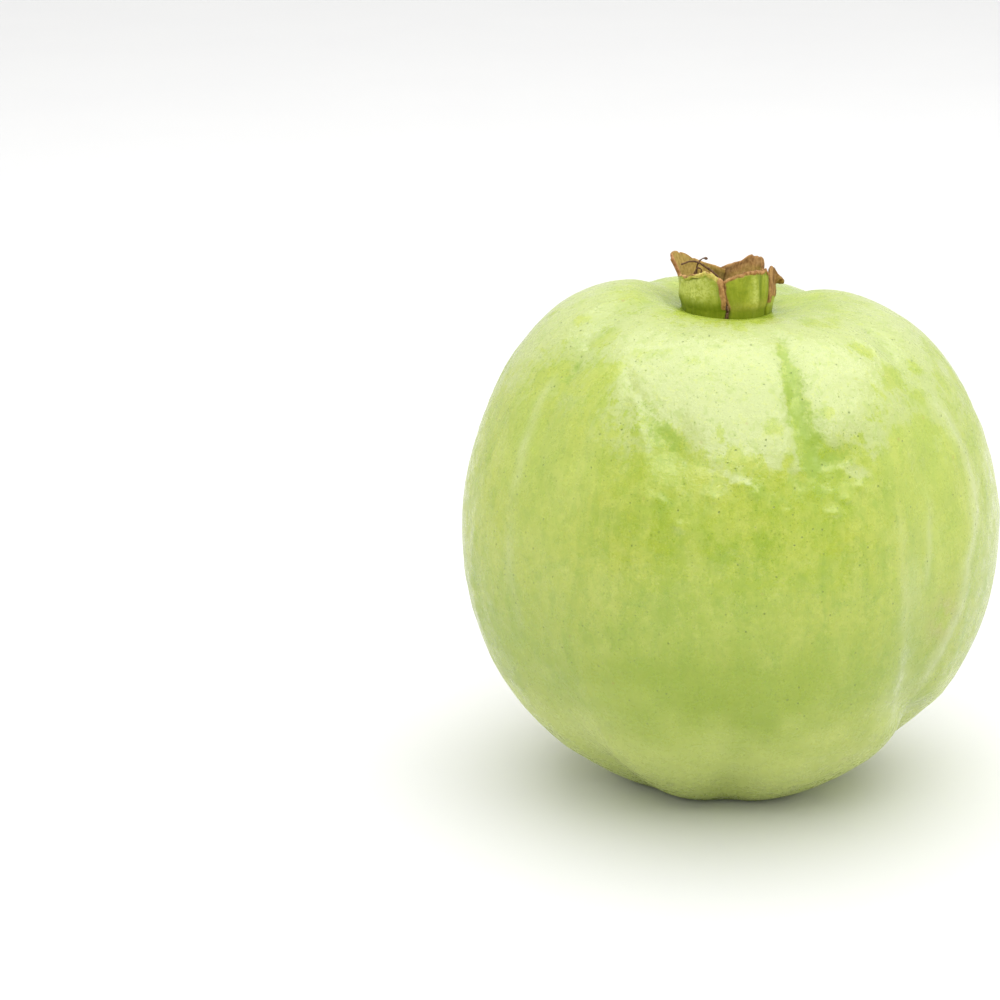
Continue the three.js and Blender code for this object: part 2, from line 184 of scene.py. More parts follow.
# ---------------------------------------------------------------- the fruit's surface, as in the solid model
CENTRE_Z = 43.0
FLOOR_Z = 81.7
CROWN_X = -0.95
BODY = [(0, 81.7), (4.5, 81.7), (7.6, 81.8), (10.2, 82.3), (13.4, 82.9), (17.8, 83.1), (23.4, 82.0), (29.6, 78.9), (35.4, 73.6), (40.4, 66.2), (43.9, 57.0), (45.5, 47.0), (44.9, 36.5), (42.0, 26.2), (37.0, 17.0), (30.6, 9.5), (23.6, 4.2), (18.8, 1.3), (15.4, 0.0)]
RING_INNER = 7.4
DIMPLE = [(RING_INNER, 0), (6.2, 1.5), (4.4, 3.4), (2.2, 4.1), (0, 4.3)]
GROOVES = [
    [(24, 15, 0, 5), (33, 14.5, 0.55, 4.6), (42, 13.5, 0.95, 4.4), (50, 13.3, 1.05, 4.6), (57, 15.2, 0.85, 5.5), (63, 16.5, 0.45, 7.5), (74, 17.5, 0.3, 9), (88, 18, 0, 9)],
    [(22, 66, 0, 9), (33, 59, 0.35, 8), (45, 53, 0.6, 8), (60, 48, 0.8, 8.5), (75, 44, 0.85, 9), (90, 41, 0.9, 9), (103, 41, 1.15, 8.5), (112, 43, 1.5, 8.5), (120, 48, 2, 9.5), (128, 61, 2.7, 9.5), (136, 65, 2.8, 9.5), (148, 64, 2.4, 10), (160, 58, 1.5, 12), (170, 56, 0.8, 14)],
    [(12, 142, 0.5, 18), (22, 141, 1.7, 15), (30, 140, 1.9, 13), (40, 134, 1.4, 12), (55, 124, 1, 12), (80, 112, 0.9, 11), (105, 106, 1.3, 10), (125, 107, 1.9, 9), (145, 108, 1.9, 10), (165, 108, 1, 14)],
    [(16, 172, 0.3, 16), (28, 170, 0.8, 14), (50, 166, 0.9, 13), (80, 163, 0.8, 13), (110, 164, 1.1, 12), (135, 166, 1.6, 11), (165, 168, 0.9, 14)],
    [(14, -134, 0.5, 16), (26, -135, 1, 13), (50, -137, 1, 12), (80, -138, 1, 12), (110, -136, 1.3, 11), (135, -134, 1.9, 10), (165, -132, 1, 14)],
    [(20, -98, 0, 12), (55, -97, 0.35, 12), (85, -96, 0.8, 12), (112, -95, 1.3, 11), (135, -93, 1.8, 10), (165, -92, 0.9, 14)],
    [(18, -72, 0.25, 14), (30, -63, 0.6, 12), (43, -57.5, 0.75, 11), (57, -54.5, 0.7, 11), (75, -51, 0.55, 12), (100, -49, 0.7, 12), (125, -47, 1.3, 11), (140, -46, 1.7, 10), (165, -45, 0.9, 14)],
    [(96, -6, 0, 12), (112, -5, 0.6, 11), (126, -3, 1.3, 10), (140, -2, 1.8, 9.5), (152, -2, 1.7, 10), (165, -2, 0.9, 14)],
]
SWELLS = [
    (24, -96, 2.1, 14, 1.2, 0), (36, -88, 0.6, 12, 1.2, 0), (54, -84, 0.1, 16, 1.3, 0),
    (58.5, -17, -0.55, 3.6, 1.3, 10), (57, -23.5, 0.35, 2.2, 2.6, 12),
    (61, 23, -0.35, 4.5, 0.7, 0), (55, 22, 0.25, 5, 1.4, 20),
    (48, 0, 0.35, 9, 1.3, 0), (46, 30, 0.3, 9, 1.6, 10), (50, -32, 0.2, 9, 1.4, -10),
    (133, 22, 0.25, 13, 1, 0), (75, 0, 0.25, 16, 1.2, 0), (100, 12, 0.25, 12, 1.4, 0),
    (80, 72, 0.1, 14, 2, 0), (100, -75, 0.3, 14, 1.6, 0), (60, 140, 0.4, 18, 1.4, 0), (90, -165, 0.35, 16, 1.6, 0), (70, -118, 0.3, 12, 1.8, 0),
    (128, -25, 0.35, 13, 1, 0), (128, -70, 0.3, 12, 1, 0), (125, 135, 0.4, 14, 1, 0), (126, -165, 0.4, 14, 1, 0), (126, -115, 0.3, 12, 1, 0),
    (38, 92, 0.35, 12, 1.2, 0), (38, 162, 0.2, 9, 1.2, 0), (36, -160, 0.3, 12, 1.2, 0), (37, -112, 0.2, 10, 1.2, 0),
    (92, 28, 0.2, 7, 1.6, 0), (84, 55, 0.2, 6, 2.4, 0),
]


def small_swells(count, seed):
    """Low, uneven knobs all over the skin, more of them below the shoulder."""
    rows = []
    fraction = lambda x: x - math.floor(x)
    h = lambda i, k: fraction(math.sin(i * 12.9898 + k * 78.233 + seed * 3.17) * 43758.5453)
    for i in range(1, count + 1):
        th = math.degrees(math.acos(1 - 2 * h(i, 1)))
        high = (h(i, 3) - 0.55) * 0.34 * (0.55 + 0.75 * math.exp(-(((th - 66) / 20) ** 2)))
        if 14 < th < 158:
            rows.append((th, 360 * h(i, 2) - 180, high, 2.2 + 3.2 * h(i, 4), 0.8 + 1.6 * h(i, 5), 60 * (h(i, 6) - 0.5)))
    return rows


def angle(a, b):
    return (a - b + 180) % 360 - 180


def direction(theta, phi):
    a, b = np.radians(theta), np.radians(phi)
    return np.sin(a) * np.sin(b), -np.sin(a) * np.cos(b), np.cos(a)


def swelling(X, Y, Z, row):
    st, sp, high, size, stretch, turn = row
    t, p, r, s = math.radians(st), math.radians(sp), math.radians(turn), math.sin(math.radians(size))
    c = np.array([math.sin(t) * math.sin(p), -math.sin(t) * math.cos(p), math.cos(t)])
    e1 = np.array([math.cos(p), math.sin(p), 0.0])
    e2 = np.cross(c, e1)
    f1, f2 = e1 * math.cos(r) + e2 * math.sin(r), -e1 * math.sin(r) + e2 * math.cos(r)
    a, b, q = [(X - c[0]) * f[0] + (Y - c[1]) * f[1] + (Z - c[2]) * f[2] for f in (f1, f2, c)]
    return high * np.exp(-((a / s) ** 2 + (b / (s * stretch)) ** 2 + (q / s) ** 2) / 2)


def grooves(theta, phi):
    d = np.zeros(np.broadcast(theta, phi).shape)
    for g in GROOVES:
        g = np.array(g, float)
        depth = np.where((theta < g[0, 0]) | (theta > g[-1, 0]), 0, hermite(g[:, 0], g[:, 2], theta))
        d -= depth * np.exp(-((angle(phi, hermite(g[:, 0], g[:, 1], theta)) / hermite(g[:, 0], g[:, 3], theta)) ** 2))
    return d


T = chords(BODY)
BR, BZ = np.array(BODY, float).T


def body_at(t):
    return hermite(T, BR, t, 1, -1), hermite(T, BZ, t, 0, -0.06)


# creases, dents, ridges and knobs too fine for the solid: path of (theta, phi), height, half width in mm
DETAILS = [
    ([(30, 16), (37.6, 14.5), (42.7, 14), (50.3, 13.5), (54.6, 14.2), (58.1, 15.5), (63.9, 16.2)], -0.30, 1.5),
    ([(49, -27.5), (50.5, -26), (54.8, -22), (57.6, -18.2), (59.4, -14), (60.7, -10.5)], -0.19, 2.2),
    ([(49, -30), (51.5, -28.5), (56.6, -25.6), (61.9, -23)], 0.14, 1.0),
    ([(59.0, 20.5), (59.4, 23.5)], -0.34, 1.7),
    ([(61.6, 13), (62.3, 17), (62.0, 21), (61.2, 25.2)], 0.13, 0.8),
    ([(62.6, -9), (64.4, -5), (64.6, 0)], 0.11, 0.9),
    ([(64.2, -2.6), (64.4, -0.8)], 0.34, 0.8), ([(68.3, 20.8), (68.5, 22.4)], 0.42, 0.85), ([(66.4, 18.6), (66.6, 19.4)], 0.26, 0.7),
    ([(62.5, 9), (64.2, 10.5)], -0.26, 1.2), ([(65.2, 1.5), (66.8, 2.2)], 0.32, 0.8), ([(66.8, -7), (67.4, -5.6)], 0.30, 0.8), ([(69.6, 8), (70, 9.4)], 0.25, 0.8),
    ([(66, -23), (68, -21)], 0.28, 0.9), ([(70.4, 17.5), (70.8, 19)], 0.30, 0.8), ([(65.8, 25.5), (67, 26.5)], 0.26, 0.8), ([(72.5, 2), (73.4, 3)], 0.15, 0.9),
    ([(68.0, -18.8), (68.5, -17.6)], 0.34, 0.8), ([(72.4, -14.4), (72.4, -13.4)], 0.30, 0.8), ([(54.6, 32.4), (56, 33)], 0.15, 0.8),
    ([(66.5, 12), (69, 13.5), (73, 13)], -0.20, 1.4), ([(64.5, 5), (66.5, 7)], -0.16, 1.3), ([(63.5, -15), (65.5, -12)], -0.15, 1.2),
    ([(36.5, -34), (42, -34.8), (47, -31.5)], -0.16, 1.3), ([(40, 24), (44, 27), (49, 28)], -0.14, 1.1),
    ([(34, 47), (45, 51), (53, 57.5), (58.6, 59.2), (67.5, 60.2), (78.5, 58.5), (87.8, 53.4), (95.6, 53.2), (104.8, 49.6), (115, 48)], 0.22, 1.2),
    ([(56, 63.5), (64, 65), (74, 65), (84, 61)], -0.18, 1.6),
    ([(70, 34), (80, 34), (89.6, 34.2), (102.9, 37), (112.8, 39.5), (123.8, 44.2)], 0.15, 1.5),
    ([(72, 43.5), (78, 42.8), (87, 41.4)], 0.16, 1.0),
    ([(30, -60), (40, -57), (50, -55), (62, -53.5)], -0.25, 1.6), ([(28, 57), (36, 57), (45, 53)], -0.16, 1.4),
    ([(34, 141), (50, 131), (66, 118)], -0.35, 1.3), ([(36, -134), (52, -138), (68, -138)], -0.32, 1.3), ([(40, 168), (60, 165), (78, 162)], -0.30, 1.4),
    ([(48, 96), (60, 90), (66, 84)], -0.22, 1.3), ([(52, -92), (64, -97), (78, -97)], -0.25, 1.4), ([(84, -70), (96, -73), (108, -72)], 0.18, 1.2),
    ([(70, 150), (84, 146), (98, 149)], 0.18, 1.2), ([(74, -164), (88, -160), (100, -163)], 0.2, 1.2),
]


def details(X, Y, Z):
    """Height of the fine relief, and how far each point lies in one of its creases."""
    high, crease = np.zeros_like(X), np.zeros_like(X)
    x0, y0, z0 = 45 * X, 45 * Y, 45 * Z
    X, Y, Z = [q + (0.55 * noise(x0, y0, z0, 2.6, 60 + i) + 0.30 * noise(x0, y0, z0, 1.2, 70 + i)) / 45 for i, q in enumerate((X, Y, Z))]
    fade = 0.85 + 0.50 * noise(x0, y0, z0, 3.2, 80) + 0.45 * noise(x0, y0, z0, 1.3, 81)
    for path, height, width in DETAILS:
        path = np.array(path, float)
        s = chords(path)
        steps = max(4, int(0.8 * s[-1] / (0.5 * width)))
        k = np.linspace(0, s[-1], steps)
        spots = np.stack(direction(hermite(s, path[:, 0], k), hermite(s, path[:, 1], k)), -1)
        best = np.zeros_like(X)
        for q, spot in zip(k, spots):
            w = width * (0.45 + 0.55 * math.sin(math.pi * (0.1 + 0.8 * q / s[-1])) ** 0.5)
            best = np.maximum(best, np.exp(-((X - spot[0]) ** 2 + (Y - spot[1]) ** 2 + (Z - spot[2]) ** 2) * (45 / w) ** 2))
        best = best * fade
        high += height * best
        if height < 0:
            crease = np.maximum(crease, best * min(1.0, -height / 0.55))
    return high, crease


# ---------------------------------------------------------------- building meshes
def mesh_object(name, points, faces, attributes=(), smooth_faces=True):
    """points in mm; faces is an array of quads or triangles, or a list of such arrays."""
    faces = [np.asarray(f, np.int64) for f in (faces if isinstance(faces, list) else [faces]) if len(f)]
    me = bpy.data.meshes.new(name)
    sizes = np.concatenate([np.full(len(f), f.shape[1]) for f in faces])
    loops = np.concatenate([f.ravel() for f in faces])
    me.vertices.add(len(points))
    me.vertices.foreach_set("co", (np.asarray(points, float) * MM).astype(np.float32).ravel())
    me.loops.add(len(loops))
    me.loops.foreach_set("vertex_index", loops.astype(np.int32))
    me.polygons.add(len(sizes))
    me.polygons.foreach_set("loop_start", np.concatenate([[0], np.cumsum(sizes)[:-1]]).astype(np.int32))
    me.polygons.foreach_set("use_smooth", np.full(len(sizes), smooth_faces))
    me.update(calc_edges=True)
    me.validate()
    for key, values in dict(attributes).items():
        layer = me.attributes.new(key, "FLOAT", "POINT")
        layer.data.foreach_set("value", np.asarray(values, np.float32).ravel())
    ob = bpy.data.objects.new(name, me)
    bpy.context.scene.collection.objects.link(ob)
    return ob


def ring_faces(rings, around):
    """Quads between rings of points that follow each other, each closed round."""
    i, j = np.meshgrid(np.arange(rings - 1), np.arange(around), indexing="ij")
    a = i * around + j
    b = i * around + (j + 1) % around
    return np.stack([a, a + around, b + around, b], -1).reshape(-1, 4)


# ---------------------------------------------------------------- materials
class Paint:
    """A node material with short names for the nodes that it uses. Lengths in its textures are in mm."""

    def __init__(self, name):
        self.material = bpy.data.materials.new(name)
        self.material.use_nodes = True
        self.tree = self.material.node_tree
        self.tree.nodes.clear()
        self.out = self.tree.nodes.new("ShaderNodeOutputMaterial")
        self.shader = self.tree.nodes.new("ShaderNodeBsdfPrincipled")
        self.tree.links.new(self.shader.outputs["BSDF"], self.out.inputs["Surface"])
        place = self.tree.nodes.new("ShaderNodeTexCoord").outputs["Object"]
        self.place = self.vector("SCALE", place, scale=1000.0)

    def put(self, socket, value):
        if isinstance(value, bpy.types.NodeSocket):
            self.tree.links.new(value, socket)
        elif value is not None:
            if isinstance(value, (tuple, list)) and len(value) == 3 and socket.type == "RGBA":
                value = (*value, 1.0)
            socket.default_value = value

    def vector(self, operation, a, b=None, scale=None):
        n = self.tree.nodes.new("ShaderNodeVectorMath")
        n.operation = operation
        self.put(n.inputs[0], a)
        if b is not None:
            self.put(n.inputs[1], b)
        if scale is not None:
            self.put(n.inputs["Scale"], scale)
        return n.outputs[0]

    def stretched(self, factors, turn=(0, 0, 0)):
        n = self.tree.nodes.new("ShaderNodeMapping")
        self.put(n.inputs["Vector"], self.place)
        n.inputs["Scale"].default_value = factors
        n.inputs["Rotation"].default_value = tuple(math.radians(t) for t in turn)
        return n.outputs[0]

    def math(self, operation, a, b=None, c=None, clamp=False):
        n = self.tree.nodes.new("ShaderNodeMath")
        n.operation = operation
        n.use_clamp = clamp
        for socket, value in zip(n.inputs, (a, b, c)):
            self.put(socket, value)
        return n.outputs[0]

    def attribute(self, name):
        n = self.tree.nodes.new("ShaderNodeAttribute")
        n.attribute_type = "GEOMETRY"
        n.attribute_name = name
        return n.outputs["Fac"]

    def noise(self, size, detail=2.0, rough=0.5, place=None, twist=0.0):
        n = self.tree.nodes.new("ShaderNodeTexNoise")
        self.put(n.inputs["Vector"], self.place if place is None else place)
        n.inputs["Scale"].default_value = 1.0 / size
        n.inputs["Detail"].default_value = detail
        n.inputs["Roughness"].default_value = rough
        n.inputs["Distortion"].default_value = twist
        return n.outputs["Fac"]

    def cells(self, size, place=None, feature="F1", chance=1.0):
        n = self.tree.nodes.new("ShaderNodeTexVoronoi")
        n.feature = feature
        self.put(n.inputs["Vector"], self.place if place is None else place)
        n.inputs["Scale"].default_value = 1.0 / size
        n.inputs["Randomness"].default_value = chance
        return n

    def band(self, value, low, high, to_low=0.0, to_high=1.0):
        n = self.tree.nodes.new("ShaderNodeMapRange")
        n.interpolation_type = "SMOOTHSTEP"
        self.put(n.inputs["Value"], value)
        for key, v in (("From Min", low), ("From Max", high), ("To Min", to_low), ("To Max", to_high)):
            n.inputs[key].default_value = v
        return n.outputs["Result"]

    def mix(self, factor, a, b, how="MIX"):
        n = self.tree.nodes.new("ShaderNodeMix")
        n.data_type = "RGBA"
        n.blend_type = how
        n.clamp_factor = True
        sockets = {s.name: s for s in n.inputs if s.enabled}
        self.put(sockets["Factor"], factor)
        self.put(sockets["A"], a)
        self.put(sockets["B"], b)
        return next(s for s in n.outputs if s.enabled)

    def bump(self, height, depth_mm, strength=1.0, before=None):
        n = self.tree.nodes.new("ShaderNodeBump")
        n.inputs["Strength"].default_value = strength
        n.inputs["Distance"].default_value = depth_mm * MM
        self.put(n.inputs["Height"], height)
        if before is not None:
            self.put(n.inputs["Normal"], before)
        return n.outputs["Normal"]

    def set(self, name, value):
        self.put(self.shader.inputs[name], value)


def srgb(r, g, b):
    """The linear colour of an 8 bit screen colour."""
    return tuple(c / 12.92 if c <= 0.04045 else ((c + 0.055) / 1.055) ** 2.4 for c in (r / 255, g / 255, b / 255))


def skin_material():
    p = Paint("guava_skin")
    base = p.mix(p.band(p.noise(20, 3, 0.55), 0.38, 0.62), (0.326, 0.424, 0.030), (0.392, 0.458, 0.046))
    # soft patches, meridian streaks and fine mottling
    base = p.mix(p.math("MULTIPLY", p.band(p.noise(8, 4, 0.62, twist=0.6), 0.44, 0.64), 0.60), base, (0.438, 0.506, 0.085))
    base = p.mix(p.math("MULTIPLY", p.band(p.noise(4.2, 4, 0.66, twist=0.5), 0.48, 0.66), 0.50), base, (0.245, 0.370, 0.024))
    base = p.mix(p.math("MULTIPLY", p.attribute("vein"), 0.55), base, (0.430, 0.500, 0.090))
    base = p.mix(p.math("MULTIPLY", p.band(p.noise(1.5, 4, 0.68, twist=0.3), 0.50, 0.68), 0.55), base, (0.255, 0.360, 0.028))
    base = p.mix(p.math("MULTIPLY", p.band(p.noise(0.48, 3, 0.7), 0.50, 0.72), 0.45), base, (0.490, 0.540, 0.120))
    base = p.mix(p.math("MULTIPLY", p.band(p.noise(0.34, 3, 0.7, twist=0.4), 0.53, 0.70), 0.40), base, (0.215, 0.320, 0.022))
    # streaks that run from the crown to the stalk
    flat = p.vector("NORMALIZE", p.vector("MULTIPLY", p.place, (1, 1, 0)))
    meridian = p.vector("ADD", p.vector("SCALE", flat, scale=42.0), p.vector("MULTIPLY", p.place, (0.05, 0.05, 0.26)))
    long = p.noise(3.2, 4, 0.66, place=meridian, twist=0.35)
    thin = p.noise(1.1, 3, 0.66, place=meridian, twist=0.3)
    base = p.mix(p.math("MULTIPLY", p.band(long, 0.50, 0.66), 0.40), base, (0.235, 0.360, 0.022))
    base = p.mix(p.math("MULTIPLY", p.band(long, 0.48, 0.34), 0.34), base, (0.460, 0.520, 0.085))
    base = p.mix(p.math("MULTIPLY", p.band(thin, 0.52, 0.68), 0.26), base, (0.240, 0.350, 0.024))
    # a paler waxy bloom on the shoulder in ragged patches, partly a painted highlight that stands in for the overhead
    # light's reflection
    bloom_highlight_breakup = p.math("ADD", p.math("MULTIPLY", p.noise(5.0, 6, 0.70, twist=0.9), 0.5), p.math("ADD", p.math("MULTIPLY", thin, 0.25), p.math("MULTIPLY", p.noise(0.9, 3, 0.65), 0.25)))
    lace = p.noise(1.7, 6, 0.76, twist=1.0)
    frill = p.noise(1.2, 6, 0.76, place=p.stretched((1, 1, 0.8), (20, 30, 40)), twist=0.9)
    bloom_highlight_breakup = p.math("ADD", bloom_highlight_breakup, p.math("MULTIPLY", p.math("SUBTRACT", lace, 0.5), 0.35))
    bloom_highlight_breakup = p.math("ADD", bloom_highlight_breakup, p.math("MULTIPLY", p.math("SUBTRACT", frill, 0.5), 0.30))
    bloom_and_highlight = p.band(p.math("ADD", bloom_highlight_breakup, p.math("MULTIPLY", p.attribute("bloom_and_highlight"), 0.30)), 0.60, 0.69)
    base = p.mix(p.math("MULTIPLY", p.attribute("bloom_and_highlight"), 0.36), base, (0.415, 0.488, 0.120))
    base = p.mix(p.math("MULTIPLY", p.math("MULTIPLY", bloom_and_highlight, p.band(p.attribute("bloom_and_highlight"), 0.0, 0.80)), 0.84), base, (0.444, 0.508, 0.200))
    base = p.mix(p.math("MULTIPLY", p.band(lace, 0.525, 0.60), 0.34), base, (0.265, 0.385, 0.024))
    base = p.mix(p.math("MULTIPLY", p.band(frill, 0.535, 0.61), 0.34), base, (0.490, 0.552, 0.095))
    # creases and the skin close round the crown's foot are darker green, partly the skin's own colour and partly
    # painted shade
    base = p.mix(p.math("MULTIPLY", p.attribute("groove"), 0.50), base, (0.235, 0.355, 0.024))
    ragged = p.math("SUBTRACT", p.math("ADD", p.math("MULTIPLY", lace, 0.5), p.math("MULTIPLY", frill, 0.5)), 0.5)
    # painted shade: the creases darkened further along a ragged band
    cut = p.band(p.math("ADD", p.attribute("crease"), p.math("MULTIPLY", ragged, 5.5)), 0.38, 0.72)
    cut = p.math("MULTIPLY", cut, p.band(p.attribute("crease"), 0.04, 0.30))
    base = p.mix(p.math("MULTIPLY", cut, 0.68), base, (0.232, 0.350, 0.018))
    # painted highlight: pale lines along the ridges
    base = p.mix(p.math("MULTIPLY", p.attribute("painted_ridge_highlight"), p.band(thin, 0.3, 0.6, 0.88, 0.62)), base, (0.540, 0.590, 0.320))
    base = p.mix(p.math("MULTIPLY", p.attribute("pink"), p.band(p.noise(3.0, 3, 0.6), 0.35, 0.65)), base, (0.450, 0.400, 0.165))
    # painted shade: the lower front of the body darker and more saturated
    base = p.mix(p.math("MULTIPLY", p.attribute("low"), 0.76), base, (0.250, 0.360, 0.004))
    # painted shade: the skin just below the crown a little darker, most at the front
    base = p.mix(p.math("MULTIPLY", p.attribute("painted_shade_under_crown"), 0.25), base, (0.235, 0.270, 0.030))
    # tiny dark pores
    wander = p.vector("ADD", p.place, p.vector("SCALE", p.tree_noise_colour(0.9), scale=0.35))
    pore = p.cells(1.5, place=wander)
    dot = p.band(pore.outputs["Distance"], 0.04, 0.16, 1.0, 0.0)
    few = p.band(p.math("ADD", p.red(pore.outputs["Color"]), p.math("MULTIPLY", p.attribute("pores"), 0.50)), 0.80, 1.08)
    dot = p.math("MULTIPLY", dot, few)
    base = p.mix(p.math("MULTIPLY", dot, 0.85), base, (0.095, 0.150, 0.002))
    small = p.cells(0.62, place=wander)
    speck = p.math("MULTIPLY", p.band(small.outputs["Distance"], 0.10, 0.26, 1.0, 0.0), p.band(p.math("ADD", p.red(small.outputs["Color"]), p.math("MULTIPLY", p.attribute("pores"), 0.45)), 0.84, 1.06))
    base = p.mix(p.math("MULTIPLY", speck, 0.66), base, (0.120, 0.200, 0.004))
    # a few yellow and brown flecks
    fleck = p.cells(2.3, place=wander)
    spot = p.band(fleck.outputs["Distance"], 0.04, 0.20, 1.0, 0.0)
    rare = p.band(p.math("ADD", p.red(fleck.outputs["Color"]), p.math("MULTIPLY", p.attribute("flecks"), 0.3)), 0.93, 1.05)
    base = p.mix(p.math("MULTIPLY", p.math("MULTIPLY", spot, rare), 0.6), base, (0.330, 0.240, 0.050))
    base = p.mix(p.attribute("scuff"), base, (0.300, 0.260, 0.090))
    # painted light: the underside paler as if lit from the floor below, and a paler band on both sides
    base = p.mix(p.math("MULTIPLY", p.attribute("pale"), 0.74), base, (0.525, 0.605, 0.140))
    p.set("Base Color", base)
    rough = p.band(p.noise(2.2, 4, 0.65), 0.35, 0.68, 0.20, 0.37)
    rough = p.math("ADD", rough, p.math("MULTIPLY", p.band(lace, 0.49, 0.58), 0.10))
    p.set("Roughness", p.math("ADD", rough, p.math("MULTIPLY", cut, 0.16)))
    p.set("Specular IOR Level", 0.85)
    height = p.math("ADD", p.math("MULTIPLY", p.noise(1.5, 3, 0.6), 1.0), p.math("MULTIPLY", p.noise(0.5, 2, 0.6), 0.22))
    normal = p.bump(height, 0.125, 1.0)
    p.set("Normal", p.bump(p.math("MULTIPLY", dot, -1.0), 0.05, 1.0, before=normal))
    return p.material


def extra_paint_nodes(cls):
    def tree_noise_colour(self, size):
        n = self.tree.nodes.new("ShaderNodeTexNoise")
        self.put(n.inputs["Vector"], self.place)
        n.inputs["Scale"].default_value = 1.0 / size
        return self.vector("SUBTRACT", n.outputs["Color"], (0.5, 0.5, 0.5))

    def red(self, colour):
        n = self.tree.nodes.new("ShaderNodeSeparateColor")
        self.put(n.inputs[0], colour)
        return n.outputs[0]

    cls.tree_noise_colour = tree_noise_colour
    cls.red = red


extra_paint_nodes(Paint)


# ---------------------------------------------------------------- the fruit
AROUND = 440


